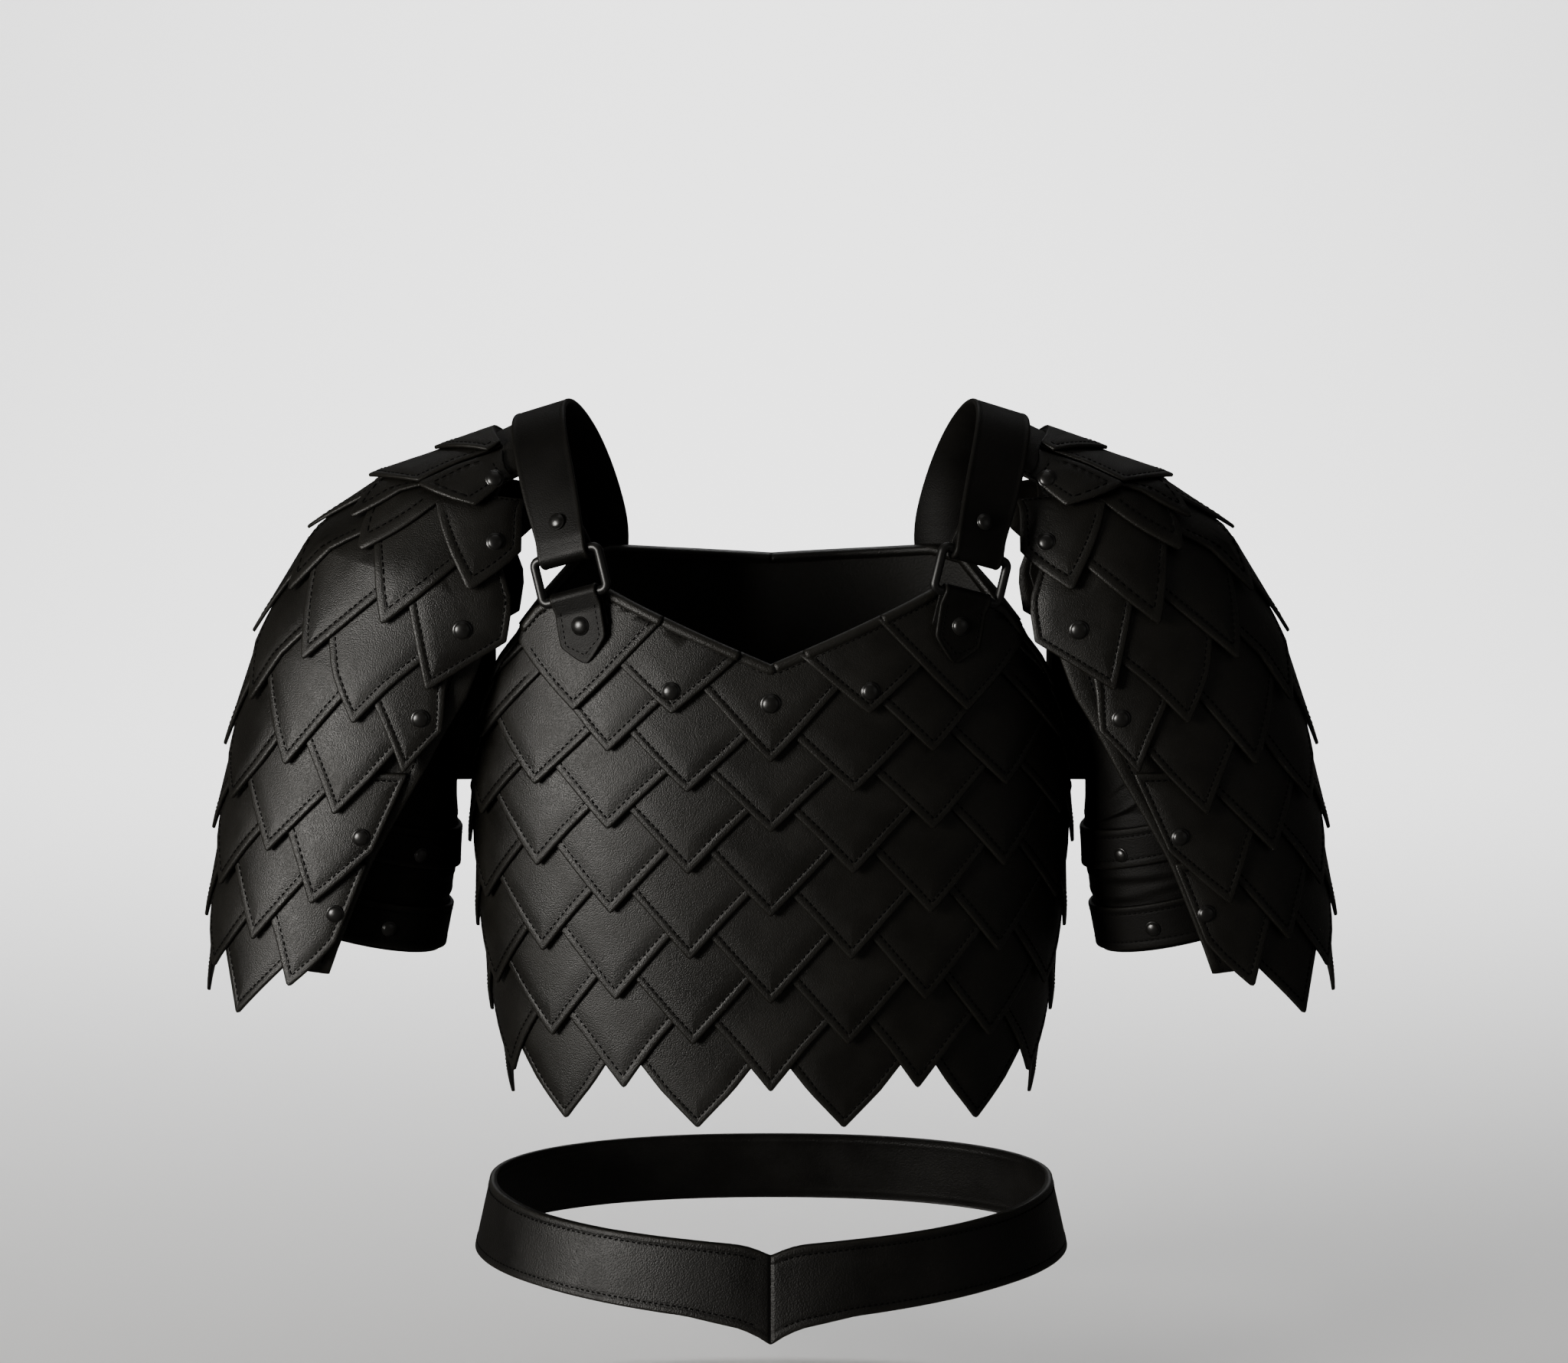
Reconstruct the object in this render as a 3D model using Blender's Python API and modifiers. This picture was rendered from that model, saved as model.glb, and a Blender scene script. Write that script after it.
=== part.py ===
"""A black leather scale bodice with straps, shoulder scales, sleeves and a hip belt.

Metres, +Z up, the front faces -Y. The origin lies midway between the shoulder straps,
level with their tops, where the wearer's shoulders carry the garment.
"""

import math

import bmesh
import bpy
import numpy as np
from mathutils import Matrix, Vector

# Leather thicknesses and the gap between rows that lie on each other
WALL = 0.0020
SCALE = 0.0020
ROW_GAP = 0.0007
FIRST_GAP = 0.0009
STEP = SCALE + ROW_GAP

# The bodice is divided into 20 columns, half a scale each
COLUMNS = 20
SQUARENESS = 2.3
LEFT_OUT_OF_ROUND = 0.08

# Strap, ring, tab and belt
STRAP_WIDTH = 0.033
STRAP_THICK = 0.0030
FOLD_WIDTH = 0.0310
RING_WIDTH = 0.0480
RING_HEIGHT = 0.0312
RING_WIRE = 0.0056
TAB_WIDTH = 0.030
TAB_THICK = 0.0018
TAB_DROP = 0.039
TAB_HEIGHT = -0.118
TILT = math.radians(16)
TAB_SLANT = math.radians(5)
BELT_THICK = 0.0036
BELT_FLARE = 0.0095

# Row tips of the bodice: level number, height
LEVELS = (
    (-3, -0.080),
    (-2, -0.102),
    (-1, -0.126),
    (0, -0.150),
    (1, -0.173),
    (2, -0.196),
    (3, -0.218),
    (4, -0.241),
    (5, -0.266),
    (6, -0.291),
    (7, -0.317),
    (8, -0.343),
    (9, -0.368),
    (10, -0.396),
    (11, -0.418),
)
# Bodice sections: height, half width, front depth, back depth
TORSO = (
    (-0.460, 0.1350, 0.0960, 0.0910),
    (-0.400, 0.1520, 0.0980, 0.0930),
    (-0.375, 0.1579, 0.0988, 0.0937),
    (-0.350, 0.1627, 0.0997, 0.0944),
    (-0.325, 0.1665, 0.1005, 0.0951),
    (-0.300, 0.1694, 0.1015, 0.0958),
    (-0.275, 0.1715, 0.1024, 0.0964),
    (-0.250, 0.1727, 0.1033, 0.0968),
    (-0.230, 0.1732, 0.1038, 0.0970),
    (-0.205, 0.1730, 0.1036, 0.0970),
    (-0.180, 0.1721, 0.1028, 0.0967),
    (-0.145, 0.1695, 0.1003, 0.0955),
    (-0.100, 0.1640, 0.0950, 0.0930),
    (-0.060, 0.1600, 0.0890, 0.0890),
)
# The cut edge of neck and armhole: column, height
EDGE = (
    (0.0, -0.145),
    (2.2, -0.102),
    (2.9, -0.107),
    (3.2, -0.115),
    (3.75, -0.146),
    (4.0, -0.166),
    (4.2, -0.187),
    (4.4, -0.208),
    (4.6, -0.222),
    (4.8, -0.228),
    (5.2, -0.228),
    (5.4, -0.222),
    (5.6, -0.208),
    (5.8, -0.187),
    (6.0, -0.166),
    (6.3, -0.143),
    (6.7, -0.120),
    (7.1, -0.100),
    (7.6, -0.095),
    (8.5, -0.098),
    (10.0, -0.102),
)
HEM_LEVEL = 9.35
# Shoulder piece: level, middle x and z, outer x and z, half depth, spread of columns
PAULDRON = (
    (-3, 0.139, -0.036, 0.148, -0.0103, 0.040, 0.0),
    (-1, 0.160, -0.043, 0.196, -0.033, 0.047, 0.0),
    (1, 0.171, -0.058, 0.235, -0.052, 0.053, 0.0),
    (3, 0.177, -0.106, 0.272, -0.083, 0.069, 0.0),
    (5, 0.202, -0.163, 0.303, -0.144, 0.071, 0.05),
    (7, 0.216, -0.212, 0.320, -0.211, 0.072, 0.17),
    (9, 0.237, -0.266, 0.327, -0.260, 0.072, 0.20),
    (11, 0.253, -0.319, 0.332, -0.313, 0.070, 0.20),
    (13, 0.263, -0.368, 0.331, -0.358, 0.068, 0.0),
)
# Sleeve sections: inner x and z, outer x and z, half depth
SLEEVE = (
    (0.1670, -0.2272, 0.1670, -0.0840, 0.034),
    (0.1895, -0.2274, 0.1960, -0.0760, 0.037),
    (0.1895, -0.2390, 0.2340, -0.0940, 0.050),
    (0.1890, -0.2460, 0.2640, -0.1260, 0.056),
    (0.1890, -0.2490, 0.2820, -0.1800, 0.057),
    (0.1893, -0.2540, 0.2890, -0.2290, 0.056),
    (0.1910, -0.2840, 0.2920, -0.2580, 0.054),
    (0.1955, -0.3050, 0.2950, -0.2810, 0.052),
    (0.2005, -0.3300, 0.2985, -0.3070, 0.050),
)

# The belt's edges at the front: distance from the centre, top, bottom
BELT = (
    (0.000, -0.4904, -0.5414),
    (0.010, -0.4860, -0.5350),
    (0.020, -0.4839, -0.5313),
    (0.050, -0.4817, -0.5250),
    (0.100, -0.4785, -0.5203),
    (0.140, -0.4755, -0.5165),
    (0.175, -0.4710, -0.5139),
)

LEATHER = ((0.012, 0.012, 0.013, 1.0), 0.42, 0.0)
LEATHER_SOFT = ((0.016, 0.016, 0.017, 1.0), 0.50, 0.0)
METAL = ((0.020, 0.020, 0.022, 1.0), 0.35, 0.9)


def clear_scene():
    for old in list(bpy.data.objects):
        bpy.data.objects.remove(old)


def new_collection(name):
    made = bpy.data.collections.new(name)
    bpy.context.scene.collection.children.link(made)
    return made


def paint(obj, look):
    colour, roughness, metallic = look
    material = bpy.data.materials.new(obj.name)
    material.use_nodes = True
    shader = material.node_tree.nodes["Principled BSDF"]
    shader.inputs["Base Color"].default_value = colour
    shader.inputs["Roughness"].default_value = roughness
    shader.inputs["Metallic"].default_value = metallic
    obj.data.materials.append(material)


def surface_object(name, points, faces, look, thickness, collection, inward=True):
    """An open surface given thickness by Solidify, with its outer face kept in place."""
    mesh = bpy.data.meshes.new(name)
    mesh.from_pydata([tuple(p) for p in points], [], faces)
    mesh.update()
    obj = bpy.data.objects.new(name, mesh)
    collection.objects.link(obj)
    shell = obj.modifiers.new("thickness", "SOLIDIFY")
    shell.thickness = thickness
    shell.offset = -1.0 if inward else 0.0
    paint(obj, look)
    return obj


def quarter_line(width, depth, share):
    """A point on a quarter of the section, from the middle (0) to the side (1), by its length."""
    angles = np.linspace(0, math.pi / 2, 121)
    power = 2 / SQUARENESS
    x = width * np.sin(angles) ** power
    y = depth * np.cos(angles) ** power
    run = np.concatenate([[0], np.cumsum(np.hypot(np.diff(x), np.diff(y)))])
    at = share * run[-1]
    return float(np.interp(at, run, x)), float(np.interp(at, run, y)), run[-1]


def torso_flat(c, z):
    """The bodice wall's outer face at a column and a height."""
    table = np.array(TORSO)
    width = np.interp(z, table[:, 0], table[:, 1])
    front = np.interp(z, table[:, 0], table[:, 2])
    back = np.interp(z, table[:, 0], table[:, 3])
    c = (c + COLUMNS / 2) % COLUMNS - COLUMNS / 2
    part = abs(c) / (COLUMNS / 2)
    part *= 1 + LEFT_OUT_OF_ROUND * (1 - part) ** 3
    front_run = quarter_line(width, front, 1)[2]
    back_run = quarter_line(width, back, 1)[2]
    along = part * (front_run + back_run)
    if along <= front_run:
        x, y, _ = quarter_line(width, front, along / front_run)
        y = -y
    else:
        x, y, _ = quarter_line(width, back, (front_run + back_run - along) / back_run)
    return Vector((math.copysign(x, c), y, z))


def level_height(u):
    table = np.array(LEVELS)
    return float(np.interp(u, table[:, 0], table[:, 1]))


def with_offset(flat, a, b, offset, wide=0.3, tall=0.3):
    """A surface's point moved out along the surface's normal."""
    across = flat(a + wide, b) - flat(a - wide, b)
    down = flat(a, b + tall) - flat(a, b - tall)
    normal = across.cross(down)
    normal.negate()
    normal.normalize()
    return flat(a, b) + normal * offset


def torso(c, u, offset):
    return with_offset(lambda a, b: torso_flat(a, level_height(b)), c, u, offset)


def torso_at(c, z, offset):
    return with_offset(torso_flat, c, z, -offset, tall=0.004)


def pauldron_flat(c, u):
    table = np.array(PAULDRON)
    mx, mz, ox, oz, depth, spread = (
        np.interp(u, table[:, 0], table[:, i]) for i in range(1, 7)
    )
    turn = math.radians(22.5 * c * (1 + spread * (1 - (c / 4) ** 2)))
    return Vector(
        (
            mx + (ox - mx) * math.cos(turn),
            depth * math.sin(turn),
            mz + (oz - mz) * math.cos(turn),
        )
    )


def pauldron(c, u, offset):
    return with_offset(pauldron_flat, c, u, offset)


def scale_row(name, place, row, columns, collection, steps=(), side=1, shift=0, highest=-3):
    """One row of scales as a strip with a pointed lower edge, lying on the rows below it.

    A scale's tip is at its own level, its sides run up to the valleys two levels higher,
    and its top edge lies three levels up, on the wall. steps are levels between, and shift
    moves the tips of even rows from even columns to odd ones.
    """
    points = []
    faces = []
    lines = []
    top = max(row - 3, highest)
    for c in columns:
        near = (c - row - shift) % 2
        from_tip = min(near, 2 - near)
        if from_tip < 0.1:
            levels = (top, *steps, row - 1, row)
        elif from_tip < 0.9:
            levels = (top, *steps, row - 1)
        else:
            levels = (top, row - 2)
        line = []
        for u in levels:
            offset = FIRST_GAP + SCALE + STEP * (3 - (row - u))
            line.append(len(points))
            at = place(c, u, offset)
            points.append((side * at.x, at.y, at.z))
        lines.append(line)
    for left, right in zip(lines, lines[1:]):
        shared = min(len(left), len(right))
        for i in range(shared - 1):
            faces.append((left[i], left[i + 1], right[i + 1], right[i]))
        if len(left) > shared:
            faces.append((left[shared - 1], left[shared], right[shared - 1]))
        if len(right) > shared:
            faces.append((left[shared - 1], right[shared], right[shared - 1]))
    if side < 0:
        faces = [tuple(reversed(face)) for face in faces]
    return surface_object(name, points, faces, LEATHER, SCALE, collection)


def half_steps(first, last):
    count = round((last - first) * 2)
    return [first + i / 2 for i in range(count + 1)]


def ring_row(name, row, collection):
    """A row that runs all the way round the bodice, closed by welding its first and last line."""
    obj = scale_row(name, torso, row, half_steps(-10, 10), collection)
    mesh = bmesh.new()
    mesh.from_mesh(obj.data)
    bmesh.ops.remove_doubles(mesh, verts=mesh.verts, dist=0.00005)
    mesh.to_mesh(obj.data)
    mesh.free()
    return obj


def upper_row(name, side, collection):
    """The row under the neckline has its own spacing: a riveted scale, then one under the tab."""
    # Lower edge: column, level
    edge = (
        (0.50, -0.95),
        (0.85, 0.00),
        (1.20, 1.00),
        (1.55, 0.45),
        (1.85, -0.05),
        (2.10, 0.50),
        (2.45, 1.00),
        (2.95, 0.35),
        (3.30, -0.30),
        (3.80, 0.60),
        (4.20, 1.00),
        (4.70, 0.30),
    )
    points = []
    faces = []
    for c, low in edge:
        for share in (0.0, 0.5, 1.0):
            u = -3 + share * (low + 3)
            offset = FIRST_GAP + SCALE + 0.0008 + STEP * (2 + u)
            at = torso(c, u, offset)
            points.append((side * at.x, at.y, at.z))
    for i in range(len(edge) - 1):
        for j in range(2):
            a = 3 * i + j
            face = (a, a + 1, a + 4, a + 3)
            faces.append(face if side > 0 else tuple(reversed(face)))
    return surface_object(name, points, faces, LEATHER, SCALE, collection)


def grid_object(name, place, rows, columns, look, thickness, collection, closed):
    """A sheet of rows by columns of points, closed round when its first column follows its last."""
    points = [place(c, r) for r in rows for c in columns]
    wide = len(columns)
    faces = []
    for r in range(len(rows) - 1):
        for c in range(wide if closed else wide - 1):
            after = (c + 1) % wide
            low = (r + 1) * wide
            faces.append((r * wide + c, low + c, low + after, r * wide + after))
    return surface_object(name, points, faces, look, thickness, collection)


def mirrored(points_of, side):
    def place(*at):
        point = points_of(*at)
        return Vector((side * point.x, point.y, point.z))

    return place


def face_out(obj, centre_of):
    """Turns a sheet's faces so that they look away from its own middle line."""
    mesh = bmesh.new()
    mesh.from_mesh(obj.data)
    outward = 0.0
    for face in mesh.faces:
        middle = face.calc_center_median()
        outward += face.normal.dot(middle - centre_of(middle)) * face.calc_area()
    if outward < 0:
        bmesh.ops.reverse_faces(mesh, faces=mesh.faces)
    mesh.to_mesh(obj.data)
    mesh.free()


def crown_cutter(collection):
    """Everything above the neckline and the armholes, as one ring of four-sided sections."""
    edge = np.array(EDGE)
    count = 96
    mesh = bmesh.new()
    rings = []
    for i in range(count):
        c = -COLUMNS / 2 + (i + 0.5) * COLUMNS / count
        low = float(np.interp(abs(c), edge[:, 0], edge[:, 1]))
        inner = torso_at(c, low, -0.014)
        outer = torso_at(c, low, 0.026)
        rings.append(
            [
                mesh.verts.new((inner.x, inner.y, low)),
                mesh.verts.new((outer.x, outer.y, low)),
                mesh.verts.new((outer.x, outer.y, -0.040)),
                mesh.verts.new((inner.x, inner.y, -0.040)),
            ]
        )
    for i, ring in enumerate(rings):
        after = rings[(i + 1) % count]
        for j in range(4):
            k = (j + 1) % 4
            mesh.faces.new((ring[j], ring[k], after[k], after[j]))
    bmesh.ops.recalc_face_normals(mesh, faces=mesh.faces)
    data = bpy.data.meshes.new("crown_cutter")
    mesh.to_mesh(data)
    mesh.free()
    cutter = bpy.data.objects.new("crown_cutter", data)
    collection.objects.link(cutter)
    cutter.hide_render = True
    cutter.display_type = "WIRE"
    return cutter


def cut_with(obj, cutter):
    cut = obj.modifiers.new("neck_and_armholes", "BOOLEAN")
    cut.operation = "DIFFERENCE"
    cut.solver = "EXACT"
    cut.object = cutter


def ribbon(name, stations, look, thickness, collection, side=1):
    """A strap: stations of centre, half-width vector, swept as a sheet with even thickness."""
    points = []
    for centre, half in stations:
        for end in (centre - half, centre + half):
            points.append((side * end.x, end.y, end.z))
    faces = []
    for i in range(len(stations) - 1):
        a = 2 * i
        face = (a, a + 1, a + 3, a + 2)
        faces.append(face if side > 0 else tuple(reversed(face)))
    obj = surface_object(name, points, faces, look, thickness, collection, inward=False)
    obj.modifiers["thickness"].use_even_offset = True
    return obj


def tab_frame():
    """Where the tab lies on the bodice: a point, and the directions across, up and out."""
    c = 2.43
    middle = torso_at(c, TAB_HEIGHT, 0.0)
    right = torso_at(c + 0.3, TAB_HEIGHT, 0.0) - torso_at(c - 0.3, TAB_HEIGHT, 0.0)
    right.z = 0
    right.normalize()
    up = Vector((0.0, 0.055, 1.0))
    up = (up - right * up.dot(right)).normalized()
    out = right.cross(up).normalized()
    turned = Matrix.Rotation(-TILT, 3, out)
    return middle, turned @ right, turned @ up, out


def fold_line(bar, run, out, radius, ends):
    """Centres of a strap that comes down behind a bar, passes round it and leaves in front.

    run points from the bar along the strap. ends are the lengths of the back and front layers.
    """
    behind, front = ends
    line = [bar - out * radius + run * behind]
    for i in range(7):
        turn = math.pi * i / 6
        line.append(bar - out * radius * math.cos(turn) - run * radius * math.sin(turn))
    line.append(bar + out * radius + run * front)
    return line


def make_ring(name, centre, across, up, out, side, collection):
    """A rectangle of round wire with rounded corners."""
    half_w = RING_WIDTH / 2 - RING_WIRE / 2
    half_h = RING_HEIGHT / 2 - RING_WIRE / 2
    corner = 0.0024
    curve = bpy.data.curves.new(name, "CURVE")
    curve.dimensions = "3D"
    curve.bevel_depth = RING_WIRE / 2
    curve.bevel_resolution = 2
    spline = curve.splines.new("POLY")
    spline.use_cyclic_u = True
    spots = []
    for sx, sy, start in ((1, 1, 0), (-1, 1, 90), (-1, -1, 180), (1, -1, 270)):
        for i in range(4):
            turn = math.radians(start + 30 * i)
            a = sx * (half_w - corner) + corner * math.cos(turn)
            b = sy * (half_h - corner) + corner * math.sin(turn)
            spots.append(centre + across * a + up * b)
    spline.points.add(len(spots) - 1)
    for point, spot in zip(spline.points, spots):
        point.co = (side * spot.x, spot.y, spot.z, 1)
    obj = bpy.data.objects.new(name, curve)
    collection.objects.link(obj)
    paint(obj, METAL)
    return obj


def make_front_hardware(side, label, collection):
    """Tab, ring and strap of one shoulder."""
    middle, across, up, out = tab_frame()
    lie = 0.0074
    bar_gap = RING_WIRE / 2 + 0.0003 + TAB_THICK / 2
    low_bar = middle + out * (lie + bar_gap + TAB_THICK / 2) + up * 0.0122
    # Tab: a short back layer, the fold round the ring's lower bar, the pointed front layer
    stations = []
    line = fold_line(low_bar, -up, out, bar_gap, (0.020, 0.004))
    for spot in line[:-1]:
        stations.append((spot, across * TAB_WIDTH / 2))
    near = low_bar + out * (TAB_THICK / 2 + 0.0006 - bar_gap + TAB_THICK)
    tab_up = Matrix.Rotation(TAB_SLANT, 3, out) @ up
    for drop, share in ((0.009, 1.0), (0.026, 1.0), (0.0345, 0.55), (TAB_DROP, 0.06)):
        stations.append((near - tab_up * drop, across * TAB_WIDTH / 2 * share))
    ribbon(f"tab_{label}", stations, LEATHER, TAB_THICK, collection, side)
    # Ring
    rise = RING_HEIGHT - RING_WIRE
    make_ring(
        f"ring_{label}", low_bar + up * rise / 2, across, up, out, side, collection
    )
    # Strap: a back layer, the fold round the ring's upper bar, then straight on over the shoulder
    high_bar = low_bar + up * rise
    radius = RING_WIRE / 2 + 0.0003 + STRAP_THICK / 2
    half = STRAP_WIDTH / 2
    # Over the shoulder: x, y, z, then the width's direction
    over = (
        (0.1293, -0.0690, -0.0450, 0.957, 0.165, -0.270),
        (0.1350, -0.0500, -0.0220, 0.955, 0.090, -0.283),
        (0.1376, -0.0310, -0.0095, 0.956, 0.030, -0.292),
        (0.1375, -0.0120, -0.0042, 0.956, -0.020, -0.292),
        (0.1355, 0.0070, -0.0035, 0.955, -0.080, -0.290),
        (0.1310, 0.0260, -0.0080, 0.950, -0.150, -0.280),
        (0.1245, 0.0440, -0.0180, 0.950, -0.200, -0.240),
        (0.1175, 0.0620, -0.0330, 0.955, -0.230, -0.170),
        (0.1110, 0.0770, -0.0520, 0.955, -0.260, -0.090),
    )
    run = Vector(over[0][:3]) - high_bar
    run = (run - across * run.dot(across)).normalized()
    strap_out = across.cross(run)
    stations = []
    line = fold_line(high_bar, run, strap_out, radius, (0.022, 0.010))
    for spot in line:
        stations.append((spot, across * FOLD_WIDTH / 2))
    for x, y, z, a, b, c in over:
        stations.append((Vector((x, y, z)), Vector((a, b, c)).normalized() * half))
    for z, lie in ((-0.082, 0.0086), (-0.100, 0.0081), (-0.128, 0.0078)):
        c = 7.55
        spot = torso_at(c, z, lie)
        before = torso_at(c - 0.2, z, lie)
        after = torso_at(c + 0.2, z, lie)
        wide = (before - after).normalized()
        stations.append((spot, wide * half))
    ribbon(f"strap_{label}", stations, LEATHER, STRAP_THICK, collection, side)


def sleeve_at(s, turn, offset):
    """The sleeve's outer face: s along it by section, turn round it."""
    table = np.array(SLEEVE)
    inner_x, inner_z, outer_x, outer_z, depth = (
        float(np.interp(s, range(len(SLEEVE)), table[:, i])) for i in range(5)
    )
    centre = Vector(((inner_x + outer_x) / 2, 0, (inner_z + outer_z) / 2))
    half = Vector(((outer_x - inner_x) / 2, 0, (outer_z - inner_z) / 2))
    length = half.length + offset
    half.normalize()
    return (
        centre
        + half * length * math.cos(turn)
        + Vector((0, (depth + offset) * math.sin(turn), 0))
    )


def make_sleeve(side, label, collection):
    turns = [2 * math.pi * i / 20 for i in range(20)]
    ends = (("sleeve", 0, 8, 8, 0.0, WALL, LEATHER_SOFT),)
    bands = (
        ("upper_band", 5.02, 5.82, 1, 0.0032, 0.0026, LEATHER_SOFT),
        ("cuff_band", 6.85, 7.92, 1, 0.0032, 0.0026, LEATHER_SOFT),
    )
    for name, first, last, count, offset, thick, look in ends + bands:
        rows = [first + (last - first) * i / count for i in range(count + 1)]
        place = mirrored(lambda t, s, o=offset: sleeve_at(s, t, o), side)
        obj = grid_object(
            f"{name}_{label}", place, rows, turns, look, thick, collection, True
        )
        face_out(obj, lambda m: Vector((side * (0.200 - (m.z + 0.16) * 0.24), 0, m.z)))


def wall_edge(u):
    """How far the shoulder wall reaches round, in columns."""
    return float(np.interp(u, (-3, 5, 7, 9, 12), (4.0, 4.7, 4.5, 4.1, 3.7)))


def make_pauldron(side, label, collection):
    rows = (-3, -1, 1, 3, 5, 7, 9, 11, 11.6)
    steps = [i / 8 for i in range(-8, 9)]
    place = mirrored(lambda c, u: pauldron(c * wall_edge(u), u, 0.0), side)
    obj = grid_object(
        f"shoulder_wall_{label}", place, rows, steps, LEATHER, WALL, collection, False
    )
    face_out(obj, lambda m: Vector((side * 0.200, 0, m.z - 0.05)))
    for row in range(0, 14):
        odd = row % 2 == 1
        if odd:
            reach = 4.5 if row <= 7 else 3.0 if row <= 11 else 2.5
        else:
            reach = 4.0 if row > 0 else 3.5
        columns = half_steps(-reach, reach)
        name = f"shoulder_row_{row:02d}_{label}"
        made = scale_row(
            name, pauldron, row, columns, collection, (row - 2,), side, 1, -2.35
        )
        face_out(made, lambda m: Vector((side * 0.200, 0, m.z - 0.05)))


def belt_at(turn, share):
    """The belt's outer face. It widens downwards and drops to a point at the front centre."""
    table = np.array(BELT)
    power = 2 / 2.2
    sine = math.sin(turn)
    cosine = math.cos(turn)
    half_width = 0.171 + BELT_FLARE * share
    x = half_width * math.copysign(abs(sine) ** power, sine)
    depth = (0.124 if cosine > 0 else 0.110) + BELT_FLARE * share
    y = -depth * math.copysign(abs(cosine) ** power, cosine)
    if cosine > 0:
        top = np.interp(abs(x), table[:, 0], table[:, 1])
        bottom = np.interp(abs(x), table[:, 0], table[:, 2])
    else:
        top, bottom = BELT[-1][1:]
    return Vector((x, y, float(top + (bottom - top) * share)))


def make_belt(collection):
    turns = []
    for i in range(48):
        near = 2 * math.pi * i / 48
        turns.append(near - 0.055 * math.sin(2 * near) * (math.cos(near) > 0))
    obj = grid_object(
        "belt",
        lambda t, r: belt_at(t, r),
        (0.0, 0.5, 1.0),
        turns,
        LEATHER,
        BELT_THICK,
        collection,
        True,
    )
    face_out(obj, lambda m: Vector((0, 0, m.z)))


def make_bodice(collection, cutter):
    columns = half_steps(-10, 9.5)
    rows = (-3, 1, 5, HEM_LEVEL)
    wall = grid_object(
        "bodice_wall",
        lambda c, u: torso(c, u, 0.0),
        rows,
        columns,
        LEATHER,
        WALL,
        collection,
        True,
    )
    face_out(wall, lambda m: Vector((0, 0, m.z)))
    trimmed = [wall]
    for side, label in ((1, "right"), (-1, "left")):
        made = upper_row(f"scale_row_01_{label}", side, collection)
        trimmed.append(made)
    back = half_steps(5, 15)
    front = half_steps(-5, 5)
    made = scale_row("scale_row_01_back", torso, 1, back, collection)
    trimmed.append(made)
    for row in (2, 3, 4):
        for label, columns in (("front", front), ("back", back)):
            name = f"scale_row_{row:02d}_{label}"
            trimmed.append(scale_row(name, torso, row, columns, collection))
    for row in range(5, 12):
        made = ring_row(f"scale_row_{row:02d}", row, collection)
        if row in (5, 6):
            trimmed.append(made)
        else:
            face_out(made, lambda m: Vector((0, 0, m.z)))
    for obj in trimmed:
        face_out(obj, lambda m: Vector((0, 0, m.z)))
        cut_with(obj, cutter)


def main():
    clear_scene()
    parts = new_collection("scale_chest_armour")
    helpers = new_collection("cutters")
    helpers.hide_render = True
    cutter = crown_cutter(helpers)
    make_bodice(parts, cutter)
    for side, label in ((1, "right"), (-1, "left")):
        make_front_hardware(side, label, parts)
        make_sleeve(side, label, parts)
        make_pauldron(side, label, parts)
    make_belt(parts)


main()
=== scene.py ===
"""The looks of the black leather scale bodice and its belt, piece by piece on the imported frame."""

import math

import bmesh
import bpy
import numpy as np
from mathutils import Matrix, Vector


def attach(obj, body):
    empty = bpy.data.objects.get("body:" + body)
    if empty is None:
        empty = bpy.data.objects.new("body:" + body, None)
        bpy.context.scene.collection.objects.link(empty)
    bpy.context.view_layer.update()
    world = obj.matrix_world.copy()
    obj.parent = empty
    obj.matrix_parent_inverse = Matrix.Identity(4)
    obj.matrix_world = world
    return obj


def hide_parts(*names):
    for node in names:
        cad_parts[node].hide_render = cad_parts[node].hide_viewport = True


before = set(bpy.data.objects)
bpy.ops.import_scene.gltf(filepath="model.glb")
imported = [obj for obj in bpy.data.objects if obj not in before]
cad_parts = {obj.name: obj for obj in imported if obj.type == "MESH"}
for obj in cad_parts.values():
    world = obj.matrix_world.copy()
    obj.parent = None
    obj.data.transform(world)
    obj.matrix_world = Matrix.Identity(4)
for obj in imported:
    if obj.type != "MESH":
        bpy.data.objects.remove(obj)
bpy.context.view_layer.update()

for name in ("Cube", "Camera", "Light"):
    if name in bpy.data.objects:
        bpy.data.objects.remove(bpy.data.objects[name])

# Bodice wall
# The wall that the scales are sewn to is 2 mm leather, cut as one wrap and closed round the
# chest. Its smooth side lies inside and shows through the neck and hem.

WALL = 0.0020
COLUMNS = 20
LEVELS = range(-3, 12)
# Height, half width, front depth, back depth
TORSO = np.array(
    (
        (-0.460, 0.1350, 0.0960, 0.0910),
        (-0.400, 0.1520, 0.0980, 0.0930),
        (-0.375, 0.1579, 0.0988, 0.0937),
        (-0.350, 0.1627, 0.0997, 0.0944),
        (-0.325, 0.1665, 0.1005, 0.0951),
        (-0.300, 0.1694, 0.1015, 0.0958),
        (-0.275, 0.1715, 0.1024, 0.0964),
        (-0.250, 0.1727, 0.1033, 0.0968),
        (-0.230, 0.1732, 0.1038, 0.0970),
        (-0.205, 0.1730, 0.1036, 0.0970),
        (-0.180, 0.1721, 0.1028, 0.0967),
        (-0.145, 0.1695, 0.1003, 0.0955),
        (-0.100, 0.1640, 0.0950, 0.0930),
        (-0.060, 0.1600, 0.0890, 0.0890),
    )
)
# Heights of the levels from -3 to 11, where the tips of the scales lie
LEVEL_HEIGHTS = (
    -0.080, -0.102, -0.126, -0.150, -0.173, -0.196, -0.218, -0.241,
    -0.266, -0.291, -0.317, -0.343, -0.368, -0.396, -0.418,
)
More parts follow.
